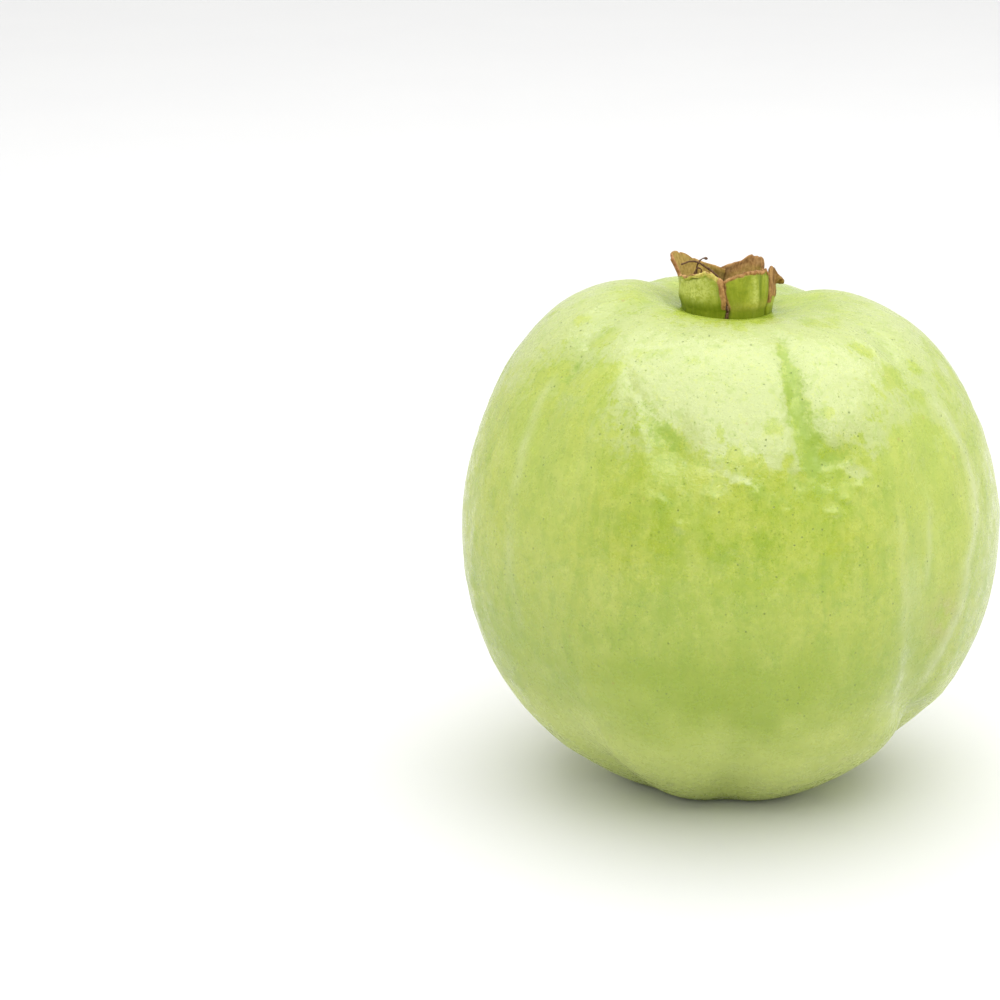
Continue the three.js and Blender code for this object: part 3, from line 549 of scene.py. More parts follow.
def fruit():
    s = np.arange(AROUND) / AROUND - 0.5
    phi = 360 * s - 0.3 * 360 / (2 * math.pi) * np.sin(2 * math.pi * s)  # finer at the front
    t = np.concatenate([
        np.linspace(1.2, T[2], 6, endpoint=False),
        np.linspace(T[2], T[6], 22, endpoint=False),
        np.linspace(T[6], T[11], 106, endpoint=False),
        np.linspace(T[11], T[14], 44, endpoint=False),
        np.linspace(T[14], T[18], 26),
    ])
    tt, pp = np.meshgrid(t, phi, indexing="ij")
    r, z = body_at(tt)
    ra, za = body_at(tt - 1e-3)
    rb, zb = body_at(tt + 1e-3)
    size = np.hypot(rb - ra, zb - za) + 1e-12
    nr, nz = -(zb - za) / size, (rb - ra) / size
    theta = np.degrees(np.arctan2(r, z - CENTRE_Z))
    X, Y, Z = direction(theta, pp)
    low = 1 - smooth(T[15], T[18], tt)
    out = np.where(tt > T[15], nr + (1 - nr) * (1 - low), nr)
    top = smooth(T[2] - 1, T[5], tt)
    groove = grooves(theta, pp)
    d = groove.copy() + 0.42 * np.exp(-(((theta - 47) / 14) ** 2) - ((angle(pp, 13.7) / 4.6) ** 2))
    for row in SWELLS + small_swells(90, 1):
        d += swelling(X, Y, Z, row)
    # fine unevenness, stronger below the shoulder
    x0, y0, z0 = 45 * X, 45 * Y, 45 * Z
    knobbly = 0.80 + 1.1 * np.exp(-(((theta - 65) / 10) ** 2)) + 0.3 * smooth(100, 125, theta)
    fine = 0.12 * noise(x0, y0, z0 * 0.7, 8.0, 10) + 0.070 * noise(x0, y0, z0 * 0.8, 4.4, 11) + 0.050 * noise(x0, y0, z0 * 0.9, 2.5, 12) + 0.026 * noise(x0, y0, z0, 1.5, 13)
    relief, crease = details(X, Y, Z)
    vein = noise(pp / 3.4 + 0.6 * noise(x0, y0, z0, 9.0, 41), theta / 26, 0 * pp, 1.0, 42)
    vein = smooth(0.25, 0.85, vein) * smooth(14, 30, theta)
    d = (d + fine * knobbly + relief + 0.05 * vein) * top
    R, H = r + d * out, z + d * nz * low
    H = np.maximum(H, 0.0)
    b = np.radians(pp)
    rings = np.stack([R * np.sin(b), -R * np.cos(b), H], -1)
    edge = R[-1]
    # the ring that it rests on, and the dimple
    parts = [rings]
    b1 = np.radians(phi)
    wave = 1 + 0.035 * np.cos(5 * b1 + math.radians(30)) + 0.02 * np.cos(3 * b1 - math.radians(70))
    for k in np.linspace(0, 1, 9)[1:]:
        rr = edge * (1 - k) + RING_INNER * wave * k
        up = 0.12 * math.sin(math.pi * k) * (1 + noise(rr * np.sin(b1), rr * np.cos(b1), 0 * rr, 3.0, 21))
        parts.append(np.stack([rr * np.sin(b1), -rr * np.cos(b1), up], -1)[None])
    DT = chords(DIMPLE)
    DR, DZ = np.array(DIMPLE, float).T
    for k in np.linspace(0, DT[-1] - 0.35, 13)[1:]:
        rr = hermite(DT, DR, k, -0.3, -1) * wave
        up = hermite(DT, DZ, k, 0.95, 0) + 0.05 * noise(rr * np.sin(b1), rr * np.cos(b1), 0 * rr + k, 1.5, 22)
        parts.append(np.stack([rr * np.sin(b1), -rr * np.cos(b1), 0 * rr + up], -1)[None])
    grid = np.concatenate(parts)
    n = grid.shape[0]
    points = np.concatenate([grid.reshape(-1, 3), [[0, 0, FLOOR_Z]], [[0, 0, 4.3]]])
    last = n * AROUND
    j = np.arange(AROUND)
    quads = ring_faces(n, AROUND)
    caps = np.concatenate([
        np.stack([np.full(AROUND, last), j, (j + 1) % AROUND], -1),
        np.stack([np.full(AROUND, last + 1), (n - 1) * AROUND + (j + 1) % AROUND, (n - 1) * AROUND + j], -1),
    ])

    # where the skin is paler, greener, scuffed or pored, and where light and shade are painted into its colour
    def everywhere(a):
        full = np.zeros((n, AROUND))
        full[: a.shape[0]] = a
        full[a.shape[0]:] = a[-1]
        return np.concatenate([full.ravel(), [a[0].mean(), a[-1].mean()]])

    def along(path, width):
        th, ph = np.array(path, float).T
        off = angle(pp, hermite(th, ph, theta)) * np.sin(np.radians(theta))
        ends = smooth(th[0] - 5, th[0] + 3, theta) * (1 - smooth(th[-1] - 3, th[-1] + 5, theta))
        return np.exp(-((off / width) ** 2)) * ends

    wobble = noise(x0, y0, z0, 4.0, 31)
    # painted highlight: pale lines along the ridges, and a pale patch low on the right side, stand in for light
    # reflected off them
    painted_ridge_highlight = along([(53, 58.3), (58.6, 59.2), (67.5, 60.2), (78.5, 58.5), (87.8, 53.4), (95.6, 53.2), (104.8, 49.4), (115, 48)], 1.9) * (0.85 + 0.45 * wobble)
    rising = smooth(66, 96, theta)
    painted_ridge_highlight += along([(66, 34), (89.6, 34.2), (102.9, 37), (112.8, 39.5), (123.8, 44.2)], 1.4) * rising * (0.55 + 0.5 * wobble)
    painted_ridge_highlight += along([(66, 37.5), (89.6, 37.5), (102.9, 39.5), (112.8, 42), (123.8, 46)], 4.2) * rising * (0.26 + 0.2 * wobble)
    painted_ridge_highlight += along([(50, -60), (66, -58), (84, -56), (100, -54)], 1.6) * (0.35 + 0.4 * wobble) + along([(52, 118), (74, 104), (100, 98)], 1.7) * (0.45 + 0.4 * wobble)
    painted_ridge_highlight += along([(50, 150), (74, 146), (100, 149)], 1.7) * (0.45 + 0.4 * wobble) + along([(52, -150), (78, -152), (104, -149)], 1.7) * (0.45 + 0.4 * wobble) + along([(54, -116), (80, -116), (104, -114)], 1.7) * (0.45 + 0.4 * wobble)
    painted_ridge_highlight += along([(73, 43.5), (80, 42.5), (86, 41.6)], 0.9) * 0.5
    painted_ridge_highlight += np.exp(-((angle(theta, 80) / 20) ** 2) - ((angle(pp, 73) / 10) ** 2)) * (0.42 + 0.3 * wobble)
    scuff = np.exp(-(((theta - 132.5 - 0.5 * wobble) / 0.55) ** 2)) * smooth(29, 31, pp) * (1 - smooth(34, 36, pp)) * 0.8
    pink = np.exp(-(((theta - 97) / 5) ** 2) - ((angle(pp, 47.5) / 4) ** 2)) * 0.8
    pores = clip01(0.44 + 0.35 * smooth(55, 25, theta) + 0.6 * smooth(35, 70, np.abs(pp)) + 0.3 * smooth(105, 125, theta) + 0.45 * noise(x0, y0, z0, 7.0, 33))
    aside = smooth(18, 40, np.abs(pp - 2))
    # painted highlight, partly real bloom: the shoulder's pale zone, with a sharp ragged lower edge at the front and a
    # soft edge at the sides
    bloom_highlight_edge = smooth(66, 54, theta + 5 * wobble + 4 * noise(x0, y0, z0, 2.0, 35) + 2.5 * noise(x0, y0, z0, 1.1, 34))
    soft_edge = 0.84 * smooth(80, 38, theta + 5 * wobble)
    shoulder = (bloom_highlight_edge * (1 - aside) + soft_edge * aside) * smooth(8, 35, theta) * (1 - 0.28 * np.exp(-((angle(pp, -55) / 24) ** 2)) * smooth(34, 50, theta))
    path = np.array([(28, 16.5), (37.6, 14.5), (42.7, 14), (50.3, 13.5), (54.6, 14), (60.9, 15.5), (68, 17)], float).T
    wide = np.interp(theta, [30, 40, 52, 68], [0.9, 1.3, 2.1, 2.8])
    shift = angle(pp, hermite(path[0], path[1], theta)) * np.sin(np.radians(theta)) * 45 * math.pi / 180
    valley = np.exp(-(((shift + 0.7 * noise(x0, y0, z0, 1.8, 38) + 0.8 * noise(x0, y0, z0, 3.6, 39)) / wide) ** 2)) * smooth(28, 36, theta) * (1 - smooth(60, 72, theta))
    dents = np.exp(-(((theta - 56 - 0.35 * angle(pp, -18)) / 3.0) ** 2) - ((angle(pp, -18) / 6.5) ** 2)) + np.exp(-(((theta - 59.3) / 2.2) ** 2) - ((angle(pp, 21) / 4.5) ** 2))
    valley = np.maximum(valley, 0.9 * clip01(dents))
    shoulder = shoulder * (1 - valley) * (1 - 0.30 * np.exp(-((angle(pp, -52) / 15) ** 2)) * smooth(36, 46, theta))
    shoulder = np.maximum(shoulder, 0.26 * np.exp(-(((theta - 65) / 8) ** 2)) * (1 - 0.6 * smooth(30, 60, np.abs(pp))))
    flecks = clip01(np.exp(-(((theta - 50) / 12) ** 2) - ((angle(pp, 38) / 16) ** 2)) + 0.5 * noise(x0, y0, z0, 12.0, 36))
    ob = mesh_object("guava_fruit", points, [quads, caps], {
        # groove: greener skin in the grooves, with painted shade in them and in a ring at the crown's foot
        "groove": everywhere(clip01(-groove * top / 2.2 + 0.24 * smooth(36, 16, theta) + 0.15 * smooth(13.5, 9.5, theta))),
        "painted_ridge_highlight": everywhere(clip01(painted_ridge_highlight)),
        "scuff": everywhere(clip01(scuff)),
        "pink": everywhere(clip01(pink)),
        "pores": everywhere(pores),
        # painted shade below the middle, strongest at the front and weaker on the right
        "low": everywhere(smooth(84, 112, theta + 6 * wobble) * (1 - smooth(106, 138, theta + 6 * wobble)) * (1 - 0.5 * smooth(20, 55, np.abs(pp))) * (1 - 0.45 * smooth(10, 28, pp))),
        # painted light: paler underside as if lit by the floor, and paler bands on both sides
        "pale": everywhere(clip01(1.2 * smooth(104, 140, theta + 6 * wobble) * (1 - smooth(150, 165, theta)) + 0.34 * smooth(24, 44, np.abs(pp)) * np.exp(-(((theta - 72) / 20) ** 2)) * (1 + 0.4 * wobble))),
        "bloom_and_highlight": everywhere(clip01(shoulder * (1 - 0.6 * smooth(0.2, 0.9, wobble)))),
        "crease": everywhere(clip01(np.maximum(crease, 0.85 * valley) * top)),
        "vein": everywhere(clip01(vein * (0.6 + 0.6 * noise(x0, y0, z0, 6.0, 37)))),
        "flecks": everywhere(flecks),
        "painted_shade_under_crown": everywhere(np.exp(-(((theta - 23) / 9) ** 2)) * (0.5 + 0.5 * np.exp(-((pp / 50) ** 2)))),
    })
    ob.data.materials.append(skin_material())
    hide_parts("fruit")
    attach(ob, "root")
    return ob


fruit()


# ---------------------------------------------------------------- the crown's sepals
# Nets of (azimuth, radius, height over the crown's floor) from foot to rim, as in the solid model,
# except that the two back sepals are wider here, so that they meet and overlap.
SEPALS = {
    "sepal_front_left": dict(thick=(0.95, 0.9, 0.75, 0.5), net=[
        [(-88, 6.9, 0.65), (-71, 6.9, 0.65), (-54, 6.9, 0.65), (-37, 6.9, 0.65), (-20, 6.9, 0.65), (-6.5, 6.9, 0.65)],
        [(-88, 7.5, 2.6), (-71.5, 7.5, 2.6), (-55, 7.5, 2.6), (-38, 7.5, 2.6), (-21, 7.5, 2.6), (-5.5, 7.45, 2.5)],
        [(-88, 7.7, 4.4), (-72, 7.65, 4.7), (-55, 7.65, 5.0), (-39, 7.65, 5.4), (-23, 7.65, 5.6), (-9.5, 7.6, 4.8)],
        [(-88, 7.75, 6.3), (-72, 7.65, 6.6), (-55, 7.6, 7.2), (-40, 7.65, 7.95), (-26, 7.6, 8.45), (-10.5, 7.5, 6.6)]]),
    "sepal_front_right": dict(thick=(0.95, 0.9, 0.75, 0.5), net=[
        [(-1, 6.9, 0.65), (10, 6.9, 0.65), (21, 6.9, 0.65), (32, 6.9, 0.65), (43, 6.9, 0.65), (53, 6.9, 0.65)],
        [(-2.4, 7.45, 2.5), (9, 7.5, 2.6), (21, 7.5, 2.6), (33, 7.5, 2.6), (44, 7.5, 2.6), (53.5, 7.5, 2.6)],
        [(-6, 7.65, 4.6), (7, 7.7, 5.4), (20, 7.7, 5.6), (32, 7.7, 5.6), (44, 7.7, 5.5), (54, 7.7, 5.3)],
        [(-6.6, 7.65, 6.7), (5, 7.7, 7.7), (18, 7.7, 8.4), (31, 7.75, 8.6), (44, 7.75, 8.25), (54, 7.7, 7.8)]]),
    "sepal_right": dict(thick=(0.95, 0.85, 0.65, 0.45), net=[
        [(56.5, 6.9, 0.65), (68, 6.9, 0.65), (79, 6.9, 0.65), (90, 6.9, 0.65), (101, 6.9, 0.65)],
        [(57, 7.5, 2.4), (69, 7.5, 2.5), (80, 7.5, 2.5), (91, 7.5, 2.4), (101, 7.45, 2.3)],
        [(57.5, 7.7, 5.4), (69, 7.75, 5.5), (80, 8.0, 5.0), (91, 8.1, 4.5), (101, 7.9, 3.9)],
        [(58, 7.8, 8.0), (70, 7.9, 8.1), (79, 8.85, 6.5), (88, 9.1, 5.5), (100, 8.6, 4.8)]]),
    "sepal_back_right": dict(thick=(0.95, 0.8, 0.6, 0.45), net=[
        [(104.5, 6.9, 0.65), (120, 6.9, 0.65), (136, 6.9, 0.65), (152, 6.9, 0.65), (168, 6.9, 0.65), (181, 6.9, 0.65)],
        [(104.5, 7.45, 2.3), (120, 7.45, 2.3), (136, 7.5, 2.6), (152, 7.5, 2.6), (168, 7.45, 2.4), (182, 7.5, 2.2)],
        [(104.5, 7.6, 3.4), (119, 7.6, 3.7), (130, 7.8, 5.0), (149, 7.8, 5.1), (167, 7.75, 4.5), (184, 7.8, 4.0)],
        [(104.5, 7.7, 4.3), (122.5, 7.8, 4.9), (128, 8.05, 7.9), (145, 8.2, 8.15), (163, 8.0, 6.9), (185.5, 7.95, 5.7)]]),
    "sepal_back_left": dict(thick=(0.95, 0.8, 0.6, 0.45), net=[
        [(-92, 6.9, 0.65), (-109, 6.9, 0.65), (-126, 6.9, 0.65), (-143, 6.9, 0.65), (-160, 6.9, 0.65), (-175.5, 6.9, 0.65)],
        [(-92, 7.5, 2.6), (-109, 7.5, 2.6), (-126, 7.5, 2.6), (-143, 7.5, 2.5), (-160, 7.45, 2.4), (-176.5, 7.35, 2.2)],
        [(-92, 7.85, 5.6), (-107, 7.9, 5.9), (-123, 7.9, 5.6), (-141, 7.8, 5.0), (-159, 7.6, 4.4), (-179, 7.4, 3.9)],
        [(-91, 9.6, 9.3), (-104, 9.2, 9.6), (-121, 8.7, 8.9), (-139, 8.2, 7.7), (-158, 7.8, 6.5), (-182, 7.35, 5.7)]]),
}


def hermite_columns(V, Y, v):
    """As hermite, with its own row of values for each of the points asked for."""
    h = np.diff(V)
    s = np.diff(Y, axis=0) / h[:, None]
    m = np.empty_like(Y)
    m[0], m[-1] = s[0], s[-1]
    m[1:-1] = (s[:-1] * h[1:, None] + s[1:] * h[:-1, None]) / (h[:-1] + h[1:])[:, None]
    i = np.clip(np.searchsorted(V, v, side="right") - 1, 0, len(V) - 2)
    c = np.arange(Y.shape[1])
    H, q = h[i], (v - V[i]) / h[i]
    return (2 * q**3 - 3 * q**2 + 1) * Y[i, c] + (q**3 - 2 * q**2 + q) * H * m[i, c] + (-2 * q**3 + 3 * q**2) * Y[i + 1, c] + (q**3 - q**2) * H * m[i + 1, c]


def net_points(net, u, v):
    net = np.array(net, float)
    rows, cols = net.shape[:2]
    U, V = np.arange(cols) / (cols - 1), np.arange(rows) / (rows - 1)
    az, radius, high = [hermite_columns(V, np.array([hermite(U, net[r, :, k], u.ravel()) for r in range(rows)]), v.ravel()).reshape(u.shape) for k in range(3)]
    return az, radius, high


def bell(x, middle, width):
    return np.exp(-(((x - middle) / width) ** 2))


def sepal(name, slot, seed, shape, paint, across=110, along=64):
    """A sepal as a closed sheet. shape bends it and gives its dried creases; paint says where it has which colour."""
    row = SEPALS[name]
    u1, v1 = np.linspace(0, 1, across), np.linspace(0, 1, along) ** 0.92
    u, v = np.meshgrid(u1, v1)

    def middle(u, v):
        # ragged rim, and a foot that reaches into the skin
        rag = 0.030 * noise(u * 9, 0 * u, 0 * u, 1.0, seed) + 0.018 * noise(u * 24, 0 * u, 0 * u, 1.0, seed + 1)
        vv = clip01(v * (1 - (0.02 + rag) * smooth(0.6, 1.0, v)))
        az, radius, high = net_points(row["net"], clip01(u), vv)
        foot = 1 - smooth(0, 0.16, v)
        high = high - 0.85 * foot
        radius = radius + 0.10 * foot
        # the free edges wander a little
        side = 0.6 * noise(v * 7, 0 * v, 0 * v + 3.3, 1.0, seed + 2) * smooth(0.25, 0.5, v)
        az = az + side * (smooth(0.9, 1, u) + smooth(0.1, 0, u))
        dr, dh, da = shape(u, v)
        b = np.radians(az + da)
        R = radius + dr
        return np.stack([CROWN_X + R * np.sin(b), -R * np.cos(b), FLOOR_Z + high + dh], -1)

    e = 2e-3
    P = middle(u, v)
    ua, ub, va, vb = clip01(u - e), clip01(u + e), clip01(v - e), clip01(v + e)
    n = np.cross(middle(ub, v) - middle(ua, v), middle(u, vb) - middle(u, va))
    n /= np.linalg.norm(n, axis=-1, keepdims=True) + 1e-12
    radial = P - np.array([CROWN_X, 0, 0])
    radial[..., 2] = 0
    if np.median((n * radial).sum(-1)) < 0:
        n = -n
    width = np.linalg.norm(np.diff(P, axis=1), axis=-1).sum(1).mean()
    height = np.linalg.norm(np.diff(P, axis=0), axis=-1).sum(0)
    x, y = u * width, v * height.mean()
    thick = hermite(np.linspace(0, 1, 4), row["thick"], v)
    # edges are rounded off
    edge = np.minimum.reduce([(1 - v) * height[None, :], x + 0.02, width - x + 0.02])
    round_off = np.sqrt(clip01(1 - (1 - clip01(edge / 0.30)) ** 2))
    half = thick / 2 * (0.35 + 0.65 * round_off)
    masks = {}
    layers = []
    for inner in (0, 1):
        m = paint(u, v, x, y, (1 - v) * height[None, :], x, width - x, inner)
        dry = clip01(m.get("dry", 0 * u))
        wrinkle = 0.15 * noise(x, y * 0.5, 0 * x + inner, 1.7, seed + 5) + 0.07 * noise(x, y * 0.22, 0 * x + inner, 0.6, seed + 6)
        plump = 0.09 * noise(x, y, 0 * x + inner, 2.4, seed + 7) + 0.03 * noise(x, y, 0 * x + inner, 0.9, seed + 8)
        lift = (wrinkle * dry + plump * (1 - dry)) * smooth(0, 0.12, v) * round_off + m.get("lift", 0 * u) * round_off
        layers.append(P + n * ((half + lift) if not inner else -(half + lift * 0.8))[..., None])
        for key in ("dry", "olive", "red", "yellow", "pale", "deep", "dark"):
            masks.setdefault(key, []).append(clip01(m.get(key, 0 * u)))
    rows, cols = u.shape
    points = np.concatenate([layer.reshape(-1, 3) for layer in layers])
    j, i = np.meshgrid(np.arange(rows - 1), np.arange(cols - 1), indexing="ij")
    a = (j * cols + i).ravel()
    front = np.stack([a, a + 1, a + 1 + cols, a + cols], -1)
    base = rows * cols
    back = np.stack([a + base, a + base + cols, a + base + cols + 1, a + base + 1], -1)
    k = np.arange(cols - 1)
    top = (rows - 1) * cols
    q = np.arange(rows - 1) * cols
    rim = [
        np.stack([k + base, k + 1 + base, k + 1, k], -1),
        np.stack([top + k, top + k + 1, top + k + 1 + base, top + k + base], -1),
        np.stack([q + base, q, q + cols, q + cols + base], -1),
        np.stack([q + cols - 1, q + cols - 1 + base, q + 2 * cols - 1 + base, q + 2 * cols - 1], -1),
    ]
    quads = np.concatenate([front, back] + rim)
    # outward, whichever way the net runs
    f = points[quads[len(front) // 2]]
    face = np.cross(f[1] - f[0], f[3] - f[0])
    where = f.mean(0) - np.array([CROWN_X, 0, f.mean(0)[2]])
    if face @ where < 0:
        quads = quads[:, ::-1]
    attributes = {key: np.concatenate([layer.ravel() for layer in value]) for key, value in masks.items()}
    attributes["across"] = np.concatenate([x.ravel(), x.ravel() + 40])
    attributes["along"] = np.concatenate([y.ravel(), y.ravel()])
    ob = mesh_object("guava_" + name, points, quads, attributes)
    ob.data.materials.append(sepal_material("guava_" + slot))
    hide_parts(name)
    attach(ob, "root")
    return ob


def sepal_material(name):
    if name in bpy.data.materials:
        return bpy.data.materials[name]
    p = Paint(name)
    n = p.tree.nodes.new("ShaderNodeCombineXYZ")
    p.put(n.inputs[0], p.attribute("across"))
    p.put(n.inputs[1], p.math("MULTIPLY", p.attribute("along"), 0.16))
    fibre = p.noise(0.42, 4, 0.65, place=n.outputs[0])
    fine = p.noise(0.16, 3, 0.65, place=n.outputs[0])
    blotch = p.noise(1.7, 4, 0.65)
    grain = p.noise(0.35, 3, 0.7)
    base = p.mix(p.band(blotch, 0.38, 0.62), (0.285, 0.328, 0.018), (0.356, 0.396, 0.030))
    base = p.mix(p.math("MULTIPLY", p.band(fibre, 0.48, 0.66), 0.22), base, (0.395, 0.440, 0.075))
    base = p.mix(p.math("MULTIPLY", p.band(p.noise(0.75, 4, 0.65, twist=0.4), 0.46, 0.64), 0.55), base, (0.205, 0.275, 0.014))
    fleck = p.math("ADD", p.math("MULTIPLY", grain, 0.4), p.math("MULTIPLY", p.noise(0.8, 4, 0.66, twist=0.6), 0.6))
    base = p.mix(p.math("MULTIPLY", p.attribute("pale"), p.band(fleck, 0.42, 0.56, 0.30, 1.0)), base, (0.640, 0.680, 0.190))
    # partly painted shade: the sepals' feet darker green where they meet the skin, and along some folds, on top of
    # their own darker tone
    base = p.mix(p.math("MULTIPLY", p.attribute("deep"), p.band(fibre, 0.3, 0.6, 1.0, 0.7)), base, (0.134, 0.190, 0.002))
    base = p.mix(p.attribute("yellow"), base, p.mix(p.band(grain, 0.4, 0.6), (0.560, 0.430, 0.090), (0.740, 0.620, 0.200)))
    # dried parts: fibrous tan and brown
    mottle = p.noise(0.85, 5, 0.68, twist=0.5)
    mixed = p.math("ADD", p.math("MULTIPLY", fibre, 0.45), p.math("MULTIPLY", mottle, 0.55))
    dry = p.mix(p.band(mixed, 0.36, 0.62), (0.215, 0.105, 0.030), (0.520, 0.306, 0.112))
    dry = p.mix(p.math("MULTIPLY", p.band(fine, 0.54, 0.70), 0.40), dry, (0.140, 0.068, 0.027))
    dry = p.mix(p.math("MULTIPLY", p.band(blotch, 0.50, 0.64), 0.45), dry, (0.560, 0.366, 0.150))
    dry = p.mix(p.attribute("olive"), dry, p.mix(p.band(mixed, 0.38, 0.6), (0.285, 0.205, 0.034), (0.490, 0.366, 0.088)))
    dry = p.mix(p.attribute("red"), dry, p.mix(p.band(mixed, 0.38, 0.6), (0.300, 0.130, 0.042), (0.540, 0.280, 0.110)))
    edge = p.math("ADD", p.attribute("dry"), p.math("MULTIPLY", p.math("SUBTRACT", grain, 0.5), 0.9))
    base = p.mix(p.band(edge, 0.38, 0.58), base, dry)
    # painted shadow: near black brown under the curled lip, in the gaps between sepals, along a fold and on inner
    # faces; the thin dark rims are their own colour
    base = p.mix(p.attribute("dark"), base, (0.040, 0.024, 0.010))
    p.set("Base Color", base)
    p.set("Roughness", p.math("ADD", p.math("MULTIPLY", p.band(edge, 0.38, 0.58), 0.32), p.band(grain, 0.3, 0.7, 0.40, 0.52)))
    p.set("Specular IOR Level", 0.28)
    height = p.math("ADD", p.math("MULTIPLY", fibre, p.band(edge, 0.38, 0.58, 0.25, 0.95)), p.math("MULTIPLY", p.noise(0.28, 3, 0.6), 0.4))
    p.set("Normal", p.bump(height, 0.11, 1.0))
    return p.material


def crown():
    zero = lambda u: 0 * u

    # front left: plump green, its lip curled out and yellow, its right edge dried to a brown strip
    def shape(u, v):
        curl = smooth(0.84, 0.98, v) * smooth(0.12, 0.35, u) * (1 - smooth(0.78, 0.95, u))
        edge = smooth(0.90, 1.0, u)
        sway = 0.10 * np.sin(u * 7 + 1) * smooth(0.1, 0.5, v)
        return 0.46 * curl + 0.26 * edge * smooth(0.25, 0.5, v) - 0.35 * smooth(0.95, 1, u) * bell(v, 0.17, 0.09) + sway, -0.10 * curl, 2.6 * edge * smooth(0.28, 0.5, v)

    def paint(u, v, x, y, rim, left, right, inner):
        w = 0.16 * noise(x, y, 0 * x, 1.1, 51)
        strip = (1 - smooth(0.62, 0.86, right + w)) * smooth(0.17, 0.30, v)
        lip = (1 - smooth(0.20, 0.42, rim + w)) * (1 - smooth(0.35, 0.62, u)) + (1 - smooth(0.05, 0.2, rim + w)) * 0.5
        yellow = (1 - smooth(0.5, 1.15, rim + 2 * w)) * smooth(0.25, 0.45, u) + 0.55 * (1 - smooth(0.6, 1.6, right + w)) * smooth(0.6, 0.85, v)
        return {
            "dry": np.maximum(np.maximum(strip, lip), 0.85 * inner * smooth(0.2, 0.7, v)),
            "yellow": 0.85 * clip01(yellow) * (1 - 0.6 * inner),
            "pale": clip01(1.2 * bell(u, 0.42, 0.36) * bell(v, 0.62, 0.29) + 0.30 * bell(v, 0.7, 0.3)) * (0.85 + 0.2 * noise(x, y, 0 * x, 1.3, 52)),
            # deep: partly painted shade at the foot, strongest on the left, and beside the brown strip
            "deep": clip01((1 - smooth(0.18, 0.50, v + 0.08 * noise(x, y, 0 * x, 1.5, 53))) * (0.85 + 0.45 * (1 - smooth(0.0, 0.35, u))) + 0.6 * bell(u, 0.92, 0.05) * smooth(0.1, 0.3, v)),
            # dark: painted shadow in the gap at the lower right and under the curled lip
            "dark": 0.85 * smooth(0.955, 0.985, u) * bell(v, 0.17, 0.08) + 0.80 * bell(u, 0.50, 0.085) * bell(v, 0.885, 0.026) + 0.35 * bell(u, 0.80, 0.07) * bell(v, 0.83, 0.03),
            "red": 0.5 * strip,
            "lift": 0.10 * strip - 0.10 * bell(right, 1.05, 0.25) * smooth(0.15, 0.4, v) - 0.12 * bell(u, 0.45, 0.22) * bell(v, 0.88, 0.04),
        }

    sepal("sepal_front_left", "green_sepal", 101, shape, paint)

    # front right: green with long streaks, a thin tan rim
    def shape(u, v):
        tuck = -0.22 * (1 - smooth(0.0, 0.12, u)) * smooth(0.25, 0.5, v)
        return 0.20 * smooth(0.9, 1.0, v) - 0.14 * bell(u, 0.72, 0.07) * smooth(0.2, 0.5, v) + 0.08 * np.cos(u * 19) * smooth(0.15, 0.6, v) + tuck, zero(u), -1.6 * (1 - smooth(0, 0.15, u)) * smooth(0.28, 0.5, v)

    def paint(u, v, x, y, rim, left, right, inner):
        w = 0.12 * noise(x, y, 0 * x, 0.9, 61)
        top = 1 - smooth(0.40, 0.60, rim + w)
        edge = (1 - smooth(0.26, 0.50, left + w)) * smooth(0.12, 0.3, v)
        line = noise(x, y * 0.10, 0 * x, 0.75, 62) + 0.6 * noise(x, y * 0.15, 0 * x, 0.35, 63)
        return {
            "dry": np.maximum(np.maximum(top, edge), 0.85 * inner * smooth(0.2, 0.7, v)),
            "pale": clip01(0.60 * bell(u, 0.60, 0.08) * bell(v, 0.5, 0.35) + 0.24 * smooth(0.1, 0.9, line) * smooth(0.2, 0.5, v)),
            # deep: partly painted shade at the foot and in the crease, with darker streaks
            "deep": clip01(0.85 * bell(u, 0.73, 0.05) * smooth(0.1, 0.35, v) + 0.40 * bell(u, 0.95, 0.05) + (1 - smooth(0.08, 0.34, v)) * 0.85 + 0.35 * smooth(0.1, 0.9, -line) * smooth(0.1, 0.4, v)),
            "yellow": 0.35 * (1 - smooth(0.4, 1.0, rim + w)) + 0.22 * bell(v, 0.28, 0.12) * (1 - inner),
            # dark: painted shadow in the gap at the lower left; the dark rim is its own colour
            "dark": 0.9 * bell(u, 0.0, 0.05) * bell(v, 0.18, 0.10) * (1 - inner) + 0.25 * (1 - smooth(0, 0.12, rim)),
            "olive": zero(u),
            "red": 0.55 * top,
            "lift": 0.08 * top,
        }

    sepal("sepal_front_right", "green_sepal", 111, shape, paint)

    # right: dried, its tip folded outwards over a green wall
    def shape(u, v):
        fold = smooth(0.45, 0.75, v)
        flap = smooth(0.84, 1.0, v) * bell(u, 0.68, 0.22)
        waist = bell(v, 0.66, 0.13) * smooth(0.35, 0.6, u)
        return -0.30 * bell(u, 0.30, 0.10) * fold + 0.18 * bell(u, 0.50, 0.10) * fold + 0.35 * flap - 0.50 * waist, 0.30 * bell(u, 0.12, 0.12) * smooth(0.8, 1, v) - 0.60 * flap + 0.35 * waist, zero(u)

